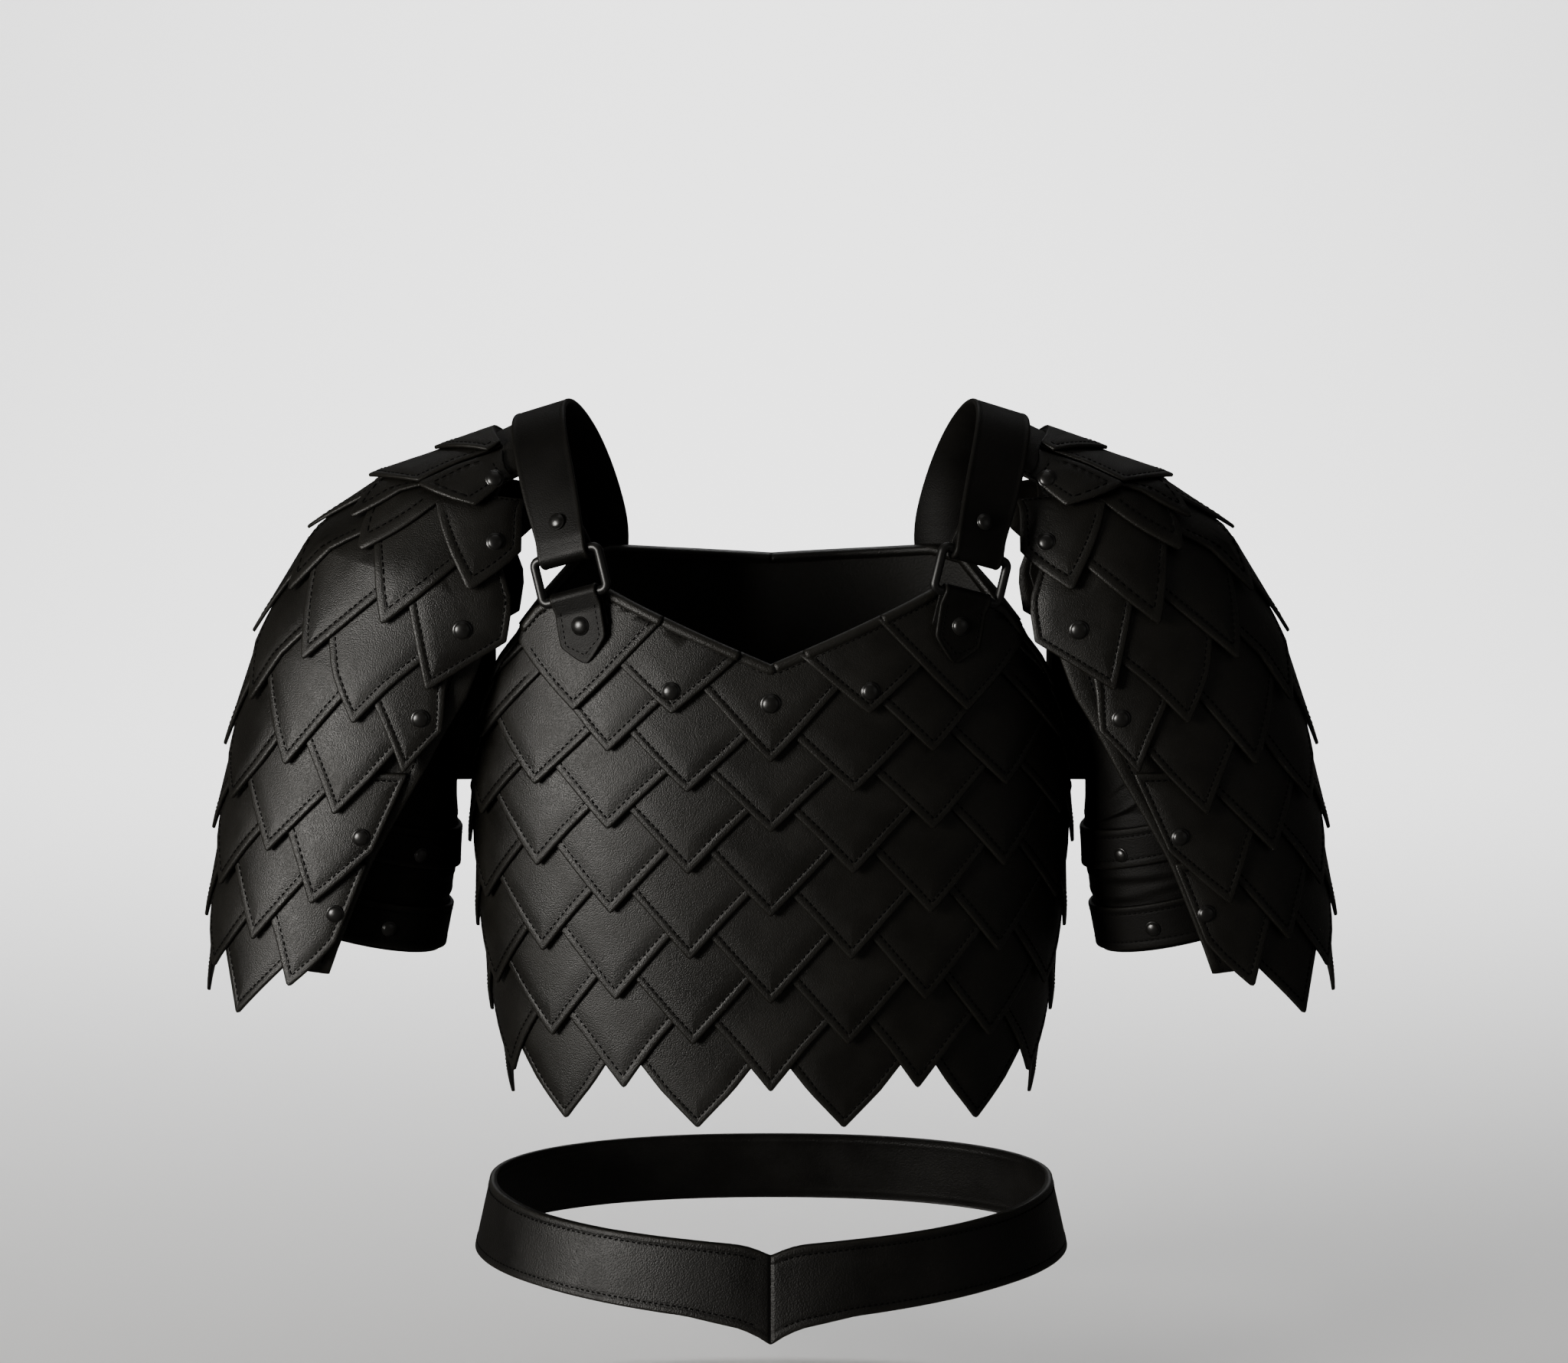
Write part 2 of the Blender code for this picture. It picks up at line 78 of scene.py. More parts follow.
# The cut edge of neck and armhole: column, height
EDGE = np.array(
    (
        (0.0, -0.145), (2.2, -0.102), (2.9, -0.107), (3.2, -0.115), (3.75, -0.146),
        (4.0, -0.166), (4.2, -0.187), (4.4, -0.208), (4.6, -0.222), (4.8, -0.228),
        (5.2, -0.228), (5.4, -0.222), (5.6, -0.208), (5.8, -0.187), (6.0, -0.166),
        (6.3, -0.143), (6.7, -0.120), (7.1, -0.100), (7.6, -0.095), (8.5, -0.098),
        (10.0, -0.102),
    )
)


def quarter_lines(width, depth):
    """Quarters of the section from the middle to the side: x, y and length so far."""
    angles = np.linspace(0, math.pi / 2, 121)
    x = width[:, None] * np.sin(angles)[None, :] ** (2 / 2.3)
    y = depth[:, None] * np.cos(angles)[None, :] ** (2 / 2.3)
    steps = np.hypot(np.diff(x, axis=1), np.diff(y, axis=1))
    run = np.concatenate([np.zeros((len(x), 1)), np.cumsum(steps, axis=1)], axis=1)
    return x, y, run


def torso_flat(c, z):
    """The bodice wall's outer face at columns and heights."""
    width, front, back = (np.interp(z, TORSO[:, 0], TORSO[:, i]) for i in (1, 2, 3))
    c = (c + COLUMNS / 2) % COLUMNS - COLUMNS / 2
    part = np.abs(c) / (COLUMNS / 2)
    part = part * (1 + 0.08 * (1 - part) ** 3)
    fx, fy, front_run = quarter_lines(width, front)
    bx, by, back_run = quarter_lines(width, back)
    whole = front_run[:, -1] + back_run[:, -1]
    found = np.empty((len(c), 3))
    for i, along in enumerate(part * whole):
        if along <= front_run[i, -1]:
            x = np.interp(along, front_run[i], fx[i])
            y = -np.interp(along, front_run[i], fy[i])
        else:
            x = np.interp(whole[i] - along, back_run[i], bx[i])
            y = np.interp(whole[i] - along, back_run[i], by[i])
        found[i] = (math.copysign(x, c[i]), y, z[i])
    return found


def moved_out(flat, a, b, offset, wide, tall):
    """Points of a surface moved out along its normal."""
    across = flat(a + wide, b) - flat(a - wide, b)
    down = flat(a, b + tall) - flat(a, b - tall)
    normal = -np.cross(across, down)
    normal /= np.linalg.norm(normal, axis=1)[:, None]
    return flat(a, b) + normal * np.asarray(offset)[:, None]


def torso(at, offset):
    """Points of the bodice by column and level."""
    return moved_out(
        lambda c, u: torso_flat(c, np.interp(u, LEVELS, LEVEL_HEIGHTS)),
        at[:, 0], at[:, 1], offset, 0.3, 0.3,
    )


def torso_at(at, offset):
    """Points of the bodice by column and height."""
    return moved_out(torso_flat, at[:, 0], at[:, 1], -np.asarray(offset), 0.3, 0.004)


def mesh_object(name, parts, material=None):
    """One object from parts, each its points, faces and edge lightening, which is partly wear and partly
    painted highlight.
    """
    points, faces, wear_and_highlight = [], [], []
    for part_points, part_faces, part_wear_and_highlight in parts:
        start = len(points)
        points.extend(tuple(p) for p in part_points)
        faces.extend([tuple(start + i for i in face) for face in part_faces])
        wear_and_highlight.extend(part_wear_and_highlight)
    data = bpy.data.meshes.new(name)
    data.from_pydata(points, [], faces)
    # This attribute marks how much lighter the edges are: partly rubbed wear, partly painted highlight.
    data.attributes.new("wear_and_highlight", "FLOAT", "POINT").data.foreach_set("value", wear_and_highlight)
    if material:
        data.materials.append(material)
    made = bmesh.new()
    made.from_mesh(data)
    bmesh.ops.recalc_face_normals(made, faces=made.faces)
    made.to_mesh(data)
    made.free()
    data.polygons.foreach_set("use_smooth", [True] * len(data.polygons))
    obj = bpy.data.objects.new(name, data)
    bpy.context.scene.collection.objects.link(obj)
    return obj


def apply_modifier(obj, modifier):
    bpy.ops.object.select_all(action="DESELECT")
    bpy.context.view_layer.objects.active = obj
    obj.select_set(True)
    bpy.ops.object.modifier_apply(modifier=modifier.name)


def flat_area(obj):
    """Half the surface of a thin closed shell, which is the area of its cut leather."""
    return sum(face.area for face in obj.data.polygons) / 2


def declare(piece, sewn, slot, nodes, **cut):
    """Puts a leather piece and its sewing on the body, with the solids it replaces; its cut is not used."""
    for made in (piece, *sewn):
        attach(made, "root")
    if nodes:
        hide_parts(*nodes)
    if sewn:
        cut["with_pieces"] = sewn


def lengths_along(points):
    """How far each point lies along a line of points."""
    return np.concatenate([[0], np.cumsum(np.linalg.norm(np.diff(points, axis=0), axis=1))])


def ring_faces(a, b, size):
    """Faces between two rings of points, numbered by their places in the list of rings."""
    around = [(i, (i + 1) % size) for i in range(size)]
    return [(a * size + i, a * size + j, b * size + j, b * size + i) for i, j in around]


def swept_faces(count, size, closed=False):
    """Faces along a row of rings, closed to a loop or with a face on each end."""
    last = count * size - 1
    faces = [] if closed else [tuple(range(size)), tuple(range(last, last - size, -1))]
    for k in range(count if closed else count - 1):
        faces += ring_faces(k, (k + 1) % count, size)
    return faces


def crown_cutter():
    """Everything above the neckline and the armholes, as one ring of four-sided sections."""
    count = 240
    c = -COLUMNS / 2 + (np.arange(count) + 0.5) * COLUMNS / count
    low = np.interp(np.abs(c), EDGE[:, 0], EDGE[:, 1])
    inner = torso_at(np.stack([c, low], axis=1), np.full(count, -0.014))
    outer = torso_at(np.stack([c, low], axis=1), np.full(count, 0.026))
    points = []
    for i in range(count):
        points += [
            (inner[i][0], inner[i][1], low[i]),
            (outer[i][0], outer[i][1], low[i]),
            (outer[i][0], outer[i][1], -0.040),
            (inner[i][0], inner[i][1], -0.040),
        ]
    part = (points, swept_faces(count, 4, closed=True), [0.0] * len(points))
    return mesh_object("crown_cutter", [part])


def cut_crown(obj):
    """Cuts neck and armholes out of a piece."""
    cut = obj.modifiers.new("neck_and_armholes", "BOOLEAN")
    cut.operation = "DIFFERENCE"
    cut.solver = "EXACT"
    cut.use_self = True
    cut.object = cutter
    apply_modifier(obj, cut)


def add(tree, kind, values=(), **settings):
    """A shader node with its settings and the values of its inputs."""
    made = tree.nodes.new("ShaderNode" + kind)
    for name, value in settings.items():
        setattr(made, name, value)
    for name, value in dict(values).items():
        made.inputs[name].default_value = value
    return made


def wire(tree, *links):
    """Links nodes: each link is a node and its output, then a node and its input."""
    for source, output, target, socket in links:
        tree.links.new(source.outputs[output], target.inputs[socket])


def new_group(name, inputs, outputs):
    """A node group: its tree, its input node and its output node."""
    tree = bpy.data.node_groups.new(name, "ShaderNodeTree")
    for way, sockets in (("INPUT", inputs), ("OUTPUT", outputs)):
        for socket in sockets:
            kind = "NodeSocketVector" if socket == "Vector" else "NodeSocketFloat"
            tree.interface.new_socket(socket, in_out=way, socket_type=kind)
    return tree, tree.nodes.new("NodeGroupInput"), tree.nodes.new("NodeGroupOutput")


def new_material(name, **values):
    """A material, its tree, and its shader with the values of some inputs."""
    material = bpy.data.materials.new(name)
    material.use_nodes = True
    shader = material.node_tree.nodes["Principled BSDF"]
    for socket, value in values.items():
        shader.inputs[socket.replace("_", " ")].default_value = value
    return material, material.node_tree, shader


def tone_pair(tree, colour, spread):
    """A mix between a colour's darker and lighter shade."""
    shades = [(*((1 + s) * v for v in colour), 1) for s in (-spread, spread)]
    return add(tree, "Mix", {"A": shades[0], "B": shades[1]}, data_type="RGBA")


def leather_grain_group():
    """Pebbled grain of finished leather: its height, and a slow change of tone."""
    tree, start, end = new_group("leather_grain", ("Vector", "Pebbles"), ("Height", "Tone"))
    cells = add(tree, "TexVoronoi", {"Smoothness": 0.15}, feature="SMOOTH_F1")
    fine = add(tree, "TexNoise", {"Scale": 2300, "Detail": 3})
    slow = add(tree, "TexNoise", {"Scale": 34, "Detail": 4})
    pores = add(tree, "Math", {1: -0.9, 2: 0.6}, operation="MULTIPLY_ADD")
    mixed = add(tree, "Math", {1: 0.45}, operation="MULTIPLY_ADD")
    spread = add(tree, "MapRange", {"From Min": 0.32, "From Max": 0.68})
    for texture in (cells, fine, slow):
        wire(tree, (start, "Vector", texture, "Vector"))
    wire(
        tree,
        (start, "Pebbles", cells, "Scale"), (cells, "Distance", pores, 0), (fine, "Fac", mixed, 0),
        (pores, 0, mixed, 2), (mixed, 0, end, "Height"), (slow, "Fac", spread, "Value"),
        (spread, 0, end, "Tone"),
    )
    return tree


def edge_rub_and_highlight_group():
    """How much a bound edge is lightened, from the attribute painted on it and broken up by noise. The
    lighter edge is partly rubbed wear and partly painted highlight.
    """
    tree, start, end = new_group("edge_rub_and_highlight", ("Vector", "Wear and Highlight"), ("Mask",))
    patches = add(tree, "TexNoise", {"Scale": 260, "Detail": 5})
    levels = add(tree, "MapRange", {"From Min": 0.30, "From Max": 0.62, "To Min": 0.75})
    times = add(tree, "Math", operation="MULTIPLY", use_clamp=True)
    wire(
        tree,
        (start, "Vector", patches, "Vector"), (patches, "Fac", levels, "Value"),
        (levels, 0, times, 0), (start, "Wear and Highlight", times, 1), (times, 0, end, "Mask"),
    )
    return tree


grain_group = leather_grain_group()
rub_and_highlight_group = edge_rub_and_highlight_group()


def leather(name, dark, rubbed_and_highlight, roughness, pebbles, bump, gloss=0.42):
    """Black finished leather: dark colour, lighter edge colour (partly rubbed wear, partly painted
    highlight), roughness, pebbles a metre, bump in metres.
    """
    material, tree, shader = new_material(name, Specular_IOR_Level=gloss)
    place = add(tree, "TexCoord")
    grain = add(tree, "Group", node_tree=grain_group)
    grain.inputs["Pebbles"].default_value = pebbles
    rub_and_highlight = add(tree, "Group", node_tree=rub_and_highlight_group)
    wear_and_highlight = add(tree, "Attribute", attribute_name="wear_and_highlight")
    base = tone_pair(tree, dark, 0.25)
    # The edges get the lighter colour: partly rubbed wear, partly painted highlight.
    top = add(tree, "Mix", {"B": (*rubbed_and_highlight, 1)}, data_type="RGBA")
    matt = add(tree, "MapRange", {"To Min": roughness - 0.05, "To Max": roughness + 0.07})
    smoother = add(tree, "Math", {1: -0.03}, operation="MULTIPLY_ADD")
    raised = add(tree, "Bump", {"Strength": 0.7, "Distance": bump})
    wire(
        tree,
        (place, "Object", grain, "Vector"), (place, "Object", rub_and_highlight, "Vector"),
        (wear_and_highlight, "Fac", rub_and_highlight, "Wear and Highlight"), (grain, "Tone", base, "Factor"), (base, "Result", top, "A"),
        (rub_and_highlight, "Mask", top, "Factor"), (top, "Result", shader, "Base Color"),
        (grain, "Tone", matt, "Value"), (rub_and_highlight, "Mask", smoother, 0), (matt, 0, smoother, 2),
        (smoother, 0, shader, "Roughness"), (grain, "Height", raised, "Height"),
        (raised, "Normal", shader, "Normal"),
    )
    return material


LEATHER_DARK = (0.0060, 0.0054, 0.0040)
# The lighter colour of turned and bound edges is partly rubbed wear and partly painted highlight of the
# rounded edge.
LEATHER_RUBBED_AND_HIGHLIGHT = (0.0105, 0.0097, 0.0076)
scale_leather = leather("scale_leather", LEATHER_DARK, LEATHER_RUBBED_AND_HIGHLIGHT, 0.42, 1350, 0.00026)
lining_leather = leather("lining_leather", LEATHER_DARK, LEATHER_RUBBED_AND_HIGHLIGHT, 0.62, 700, 0.0003)

cutter = crown_cutter()
columns = np.arange(-10, 10, 0.25)
rows = np.linspace(-3, 9.35, 44)
outer = torso(np.array([(c, u) for u in rows for c in columns]), np.zeros(len(rows) * len(columns)))
faces = [face[::-1] for k in range(len(rows) - 1) for face in ring_faces(k, k + 1, len(columns))]
bodice_wall = mesh_object("bodice_wall_leather", [(outer, faces, [0.0] * len(outer))], lining_leather)
shell = bodice_wall.modifiers.new("thickness", "SOLIDIFY")
shell.thickness = WALL
shell.offset = -1
apply_modifier(bodice_wall, shell)
cut_crown(bodice_wall)
wall_area = flat_area(bodice_wall)
declare(bodice_wall, [], "leather", ["bodice_wall"], flat=(0.92, 0.31), held="stretched", area=wall_area)

# Scale rows of the bodice
# Each scale is its own piece of 2 mm leather, cut with a pointed lower edge that is turned
# under and top-stitched, and sewn to the wall along its top. A row lies over the next one down.

SCALE = 0.0020
FIRST_GAP = 0.0009
STEP = 0.0027
# Section of the turned edge: distance in, height, and lightening of the colour, which is partly wear and
# partly painted highlight
RIM = (
    (0.0000, -0.00085, 0.35),
    (0.0003, -0.00030, 0.90),
    (0.0008, 0.00010, 1.00),
    (0.0015, 0.00022, 0.50),
    (0.0029, 0.00020, 0.10),
    (0.0038, 0.00008, 0.00),
    (0.0045, -0.00034, 0.00),
    (0.0056, 0.00000, 0.00),
)
STITCH_LINE = 0.0046
STITCH_PITCH = 0.0036
STITCH_SINK = 0.00012
CORNER_ROUNDING = 0.0018
# Half the width of a scale in columns, and the cut size of a single scale in metres
HALF_SCALE = 0.965
SCALE_LENGTH = 0.074
SCALE_MEAN_WIDTH = 0.056


def corner_points(corners, inset):
    """Where the sides of a shape, each moved in by the same distance, cross each other."""
    sides = np.roll(corners, -1, axis=0) - corners
    sides /= np.linalg.norm(sides, axis=1)[:, None]
    inward = np.stack([-sides[:, 1], sides[:, 0]], axis=1)
    before = np.roll(inward, 1, axis=0)
    share = (before + inward) / (1 + (before * inward).sum(axis=1))[:, None]
    return corners + inset * share, sides, share


def fade(start, end, share):
    """A bound side keeps its edge until near the end where another scale hides it."""
    if start == end:
        return start
    if start < end:
        return fade(end, start, 1 - share)
    t = min(max((share - 0.74) / 0.26, 0.0), 1.0)
    return start + (end - start) * t * t * (3 - 2 * t)


def plate(place, lift, corners, weights, thick=SCALE):
    """A flat leather piece laid on a surface, with its turned edge and its row of stitches.

    corners are in the surface's own two numbers, and weights say which of them have the
    turned edge. Returns the leather's points, faces and edge lightening (partly wear, partly
    painted highlight), and the ends of the stitches.
    """
    corners = np.array(corners, float)
    centre = corners.mean(axis=0)
    zero = np.zeros(1)
    step = 0.05
    along_a = place(centre[None] + (step, 0), zero) - place(centre[None] - (step, 0), zero)
    along_b = place(centre[None] + (0, step), zero) - place(centre[None] - (0, step), zero)
    along_a, along_b = along_a[0] / (2 * step), along_b[0] / (2 * step)
    wide = np.linalg.norm(along_a)
    lean = along_b @ along_a / wide
    tall = math.sqrt(max(along_b @ along_b - lean**2, 1e-12))
    to_flat = np.array([[wide, lean], [0, tall]])
    from_flat = np.linalg.inv(to_flat)
    flat = (corners - centre) @ to_flat.T
    weights = list(weights)
    if sum(a[0] * b[1] - a[1] * b[0] for a, b in zip(flat, np.roll(flat, -1, axis=0))) < 0:
        flat = flat[::-1]
        weights = weights[::-1]
    count = len(flat)
    _, sides, _ = corner_points(flat, 0.0)
    lengths = np.linalg.norm(np.roll(flat, -1, axis=0) - flat, axis=1)
    parts = [max(2, round(length / 0.009)) for length in lengths]
    reach = min(abs(s[0] * p[1] - s[1] * p[0]) for s, p in zip(sides, flat))
    squeeze = min(1.0, 0.8 * reach / RIM[-1][0])
    edge = []
    for i in range(count):
        edge += [(i, kind, weights[i]) for kind in ("before", "middle", "after")]
        for j in range(1, parts[i]):
            share = j / parts[i]
            edge.append((i, share, fade(weights[i], weights[(i + 1) % count], share)))
    bound = np.array([item[2] for item in edge], float)

    def ring(inset):
        spots, _, share = corner_points(flat, inset)
        radius = max(CORNER_ROUNDING - inset, 0.00012)
        line = []
        tangent = []
        for i in range(count):
            cosine = max(-1.0, min(1.0, sides[i - 1] @ sides[i]))
            tangent.append(radius * math.tan(math.acos(cosine) / 2))
        for i, kind, _ in edge:
            after = (i + 1) % count
            if kind == "before":
                line.append(spots[i] - sides[i - 1] * tangent[i])
            elif kind == "middle":
                far = np.linalg.norm(share[i])
                line.append(spots[i] + share[i] / far * radius * (far - 1))
            elif kind == "after":
                line.append(spots[i] + sides[i] * tangent[i])
            else:
                first = spots[i] + sides[i] * tangent[i]
                last = spots[after] - sides[i] * tangent[after]
                line.append(first + (last - first) * kind)
        return np.array(line)

    rings = [ring(inset * squeeze) for inset, _, _ in RIM]
    heights = [bound * height for _, height, _ in RIM]
    heights[0] = heights[0] - (1 - bound) * 0.0003
    wear_and_highlight_rings = [bound * wear_and_highlight for _, _, wear_and_highlight in RIM]
    last = rings[-1]
    for share in (0.68, 0.34):
        rings.append(last * share)
        heights.append(np.full(len(last), 0.0))
        wear_and_highlight_rings.append(np.zeros(len(last)))
    outer_rings = len(rings)
    for line in (last * 0.34, last * 0.68, last, rings[0]):
        rings.append(line)
        heights.append(np.full(len(last), -thick))
        wear_and_highlight_rings.append(np.zeros(len(last)))
    rings += [np.zeros((1, 2)), np.zeros((1, 2))]
    heights += [np.zeros(1), np.full(1, -thick)]
    wear_and_highlight_rings += [np.zeros(1), np.zeros(1)]
    at = centre + np.concatenate(rings) @ from_flat.T
    points = place(at, lift(at) + np.concatenate(heights))
    around = len(edge)
    faces = []
    for k in range(outer_rings + 3):
        if k != outer_rings - 1:
            faces += ring_faces(k, k + 1, around)
    faces += ring_faces(outer_rings + 3, 0, around)
    top, bottom = len(points) - 2, len(points) - 1
    for i in range(around):
        j = (i + 1) % around
        faces.append(((outer_rings - 1) * around + i, (outer_rings - 1) * around + j, top))
        faces.append((outer_rings * around + j, outer_rings * around + i, bottom))
    ends = []
    spots, _, _ = corner_points(flat, STITCH_LINE * squeeze)
    for i in range(count):
        after = (i + 1) % count
        if max(weights[i], weights[after]) < 0.5:
            continue
        number = int(np.linalg.norm(spots[after] - spots[i]) / STITCH_PITCH)
        for j in range(number):
            middle = (j + 0.5) / number
            if fade(weights[i], weights[after], middle) < 0.6:
                continue
            half = 0.36 / number
            pair = [spots[i] + (spots[after] - spots[i]) * (middle + s * half) for s in (-1, 1)]
            ends.append(centre + np.array(pair) @ from_flat.T)
    return (points, faces, list(np.concatenate(wear_and_highlight_rings))), ends


def stitches(place, lift, ends, radius=0.00048):
    """Threads between pairs of points on a surface, each one a short prism with sunk ends."""
    if not ends:
        return np.zeros((0, 3)), [], []
    first = np.array([pair[0] for pair in ends])
    second = np.array([pair[1] for pair in ends])
    start = place(first, lift(first) - STITCH_SINK)
    end = place(second, lift(second) - STITCH_SINK)
    normal = place(first, lift(first) + 0.001) - start
    normal /= np.linalg.norm(normal, axis=1)[:, None]
    along = end - start
    across = np.cross(along, normal)
    across /= np.linalg.norm(across, axis=1)[:, None]
    points = []
    faces = []
    for s, e, n, a in zip(start, end, normal, across):
        base = len(points)
        points.append(s - n * 0.0003)
        for share in (0.18, 0.82):
            middle = s + (e - s) * share
            for x, y in ((1, 0), (0, 1), (-1, 0), (0, -1)):
                points.append(middle + a * radius * x + n * radius * y)
        points.append(e - n * 0.0003)
        for i in range(4):
            j = (i + 1) % 4
            faces.append((base, base + 1 + i, base + 1 + j))
            faces.append((base + 1 + i, base + 5 + i, base + 5 + j, base + 1 + j))
            faces.append((base + 9, base + 5 + j, base + 5 + i))
    return np.array(points), faces, [0.0] * len(points)


def stitch_run(place, values, spot):
    """Ends of stitches along a line on a surface. spot gives the line's places for its values."""
    far = lengths_along(place(spot(values), np.zeros(len(values))))
    ends = []
    for j in range(int(far[-1] / STITCH_PITCH)):
        pair = [np.interp((j + s) * STITCH_PITCH, far, values) for s in (0.14, 0.86)]
        ends.append(spot(np.array(pair)))
    return ends


def row_lift(row):
    return lambda at: FIRST_GAP + SCALE + STEP * np.maximum(3 - row + at[:, 1], -0.2)


def scale_corners(c, row, highest=-3.0):
    """A scale with its tip at a column and a row's level."""
    left, right = c - HALF_SCALE, c + HALF_SCALE
    side = row - 2 * HALF_SCALE
    top = max(row - 3, highest)
    return [(c, row), (right, side), (right, top), (left, top), (left, side)], (1, 0, 0, 0, 0)


def below_edge(pair):
    """Whether a stitch lies clear of the cut of neck and armholes."""
    c, u = pair.mean(axis=0)
    c = abs((c + 10) % 20 - 10)
    z = np.interp(u, LEVELS, LEVEL_HEIGHTS)
    return z < np.interp(c, EDGE[:, 0], EDGE[:, 1]) - 0.0062


def thread_material():
    values = {"Roughness": 0.75, "Specular_IOR_Level": 0.12}
    material, tree, shader = new_material("waxed_thread", **values)
    place = add(tree, "TexCoord")
    twist = add(tree, "TexWave", {"Scale": 420, "Distortion": 1.5}, bands_direction="DIAGONAL")
    shades = {"A": (0.0006, 0.0006, 0.0005, 1), "B": (0.0020, 0.0019, 0.0016, 1)}
    tone = add(tree, "Mix", shades, data_type="RGBA")
    raised = add(tree, "Bump", {"Distance": 0.0001})
    wire(
        tree,
        (place, "Object", twist, "Vector"), (twist, "Fac", tone, "Factor"),
        (tone, "Result", shader, "Base Color"), (twist, "Fac", raised, "Height"),
        (raised, "Normal", shader, "Normal"),
    )
    return material


thread = thread_material()


def lay(row, place, lift, corners, weights, thick=SCALE, clear=None):
    """Adds a scale to a row, which is a list of leather and a list of stitches.

    clear tells which stitches are kept.
    """
    part, ends = plate(place, lift, corners, weights, thick)
    row[0].append(part)
    row[1].append(stitches(place, lift, [pair for pair in ends if clear is None or clear(pair)]))


def finish_row(name, nodes, row, trimmed, rests_on):
    """A row's leather and its stitches as two pieces, put on the body in place of the solids they replace."""
    scales = mesh_object(name, row[0], scale_leather)
    if trimmed:
        cut_crown(scales)
    row_thread = mesh_object(name + "_stitches", row[1], thread)
    area = flat_area(scales)
    flat = (area / SCALE_MEAN_WIDTH, SCALE_LENGTH)
    declare(
        scales, [row_thread], "leather", nodes, flat=flat, held="laid", rests_on=[rests_on], area=area
    )


def torso_row(level, nodes):
    row = ([], [])
    for c in range(-10, 10):
        low = np.interp(level, LEVELS, LEVEL_HEIGHTS)
        if (c - level) % 2 or low > np.interp(abs(c), EDGE[:, 0], EDGE[:, 1]) - 0.002:
            continue
        corners, weights = scale_corners(c, level)
        if (c, level) == (0, 2):
            corners[0] = (0, 2.2)
        clear = None if level > 6 else below_edge
        lay(row, torso, row_lift(level), corners, weights, clear=clear)
    finish_row(f"scales_{level:02d}", nodes, row, level <= 6, "bodice_wall_leather")


# The three scales of each side under the neckline: name, extra lift, turned edges, corners
NECK_SCALES = (
    ("inner", -0.0010, (1, 0, 0, 0, 1),
     ((1.20, 1.0), (2.0, -0.35), (2.0, -2.9), (0.20, -2.9), (0.20, -0.75))),
    ("strap", 0.0009, (1, 0, 0, 0, 1),
     ((2.45, 1.0), (3.42, -0.62), (3.42, -2.9), (1.10, -2.9), (1.10, -1.85))),
    ("outer", -0.0010, (1, 1, 0, 0, 0),
     ((4.20, 1.0), (4.72, 0.28), (4.72, -2.9), (3.10, -2.9), (3.10, -0.90))),
)


def neck_lift(extra):
    return lambda at: FIRST_GAP + SCALE + 0.0008 + extra + STEP * np.maximum(2 + at[:, 1], -0.2)


row = ([], [])
for side in (1, -1):
    for _, extra, weights, corners in NECK_SCALES:
        turned = [(side * c, u) for c, u in corners]
        lay(row, torso, neck_lift(extra), turned, weights, 0.0017, below_edge)
for c in (7, 9, 11, 13):
    lay(row, torso, row_lift(1), *scale_corners(c, 1), clear=below_edge)
nodes = ("scale_row_01_left", "scale_row_01_right", "scale_row_01_back")
finish_row("scales_01", nodes, row, True, "bodice_wall_leather")
for level in (2, 3, 4):
    torso_row(level, (f"scale_row_{level:02d}_front", f"scale_row_{level:02d}_back"))
for level in range(5, 12):
    torso_row(level, (f"scale_row_{level:02d}",))

# Binding of neck and armholes
# A 13 mm strip of the same leather is folded over the cut edge of the scales and the wall and
# stitched through. On each scale it starts anew, so it steps where one scale lies on the next.

BINDING_WIDTH = 0.0048


def top_layer(c, u):
    """The outermost scale at a place on the bodice: its name and its outer face's offset."""
    c = (c + 10) % 20 - 10
    if abs(c) < 5:
        for name in ("strap", "inner", "outer"):
            for label, extra, _, corners in NECK_SCALES:
                inside = all(
                    (b[0] - a[0]) * (u - a[1]) - (b[1] - a[1]) * (abs(c) - a[0]) <= 1e-9
                    for a, b in zip(corners, corners[1:] + corners[:1])
                )
                if label == name and inside:
                    return label, neck_lift(extra)(np.array([[c, u]]))[0]
    for row in range(2 if abs(c) < 5 else 1, 8):
        near = (c - row) % 2
        if u <= row - 2 * min(near, 2 - near):
            return row, row_lift(row)(np.array([[c, u]]))[0]
    return 8, 0.011


def binding_strip(stations):
    """A strip folded over the edge: stations of edge point, direction down the leather, out, and lift."""
    points = []
    for spot, down, out, lift in stations:
        outer = (
            (BINDING_WIDTH, lift - 0.0001), (BINDING_WIDTH - 0.0003, lift + 0.0005),
            (BINDING_WIDTH / 2, lift + 0.0010), (0.0008, lift + 0.0008),
            (-0.0006, lift + 0.0001), (-0.0013, lift * 0.5), (-0.0006, -0.0026),
            (0.0008, -0.0036), (BINDING_WIDTH, -0.0034), (BINDING_WIDTH, -0.0024),
            (0.0004, -0.0024), (0.0002, lift * 0.5), (0.0004, lift - 0.0003),
        )
        points += [spot + down * a + out * b for a, b in outer]
    # The folded edge is painted lighter: partly rubbed wear, partly painted highlight.
    wear_and_highlight = [0.2, 0.9, 0.8, 1.0, 0.9, 0.4, 0.3, 0, 0, 0, 0, 0, 0] * len(stations)
    return np.array(points), swept_faces(len(stations), 13), wear_and_highlight


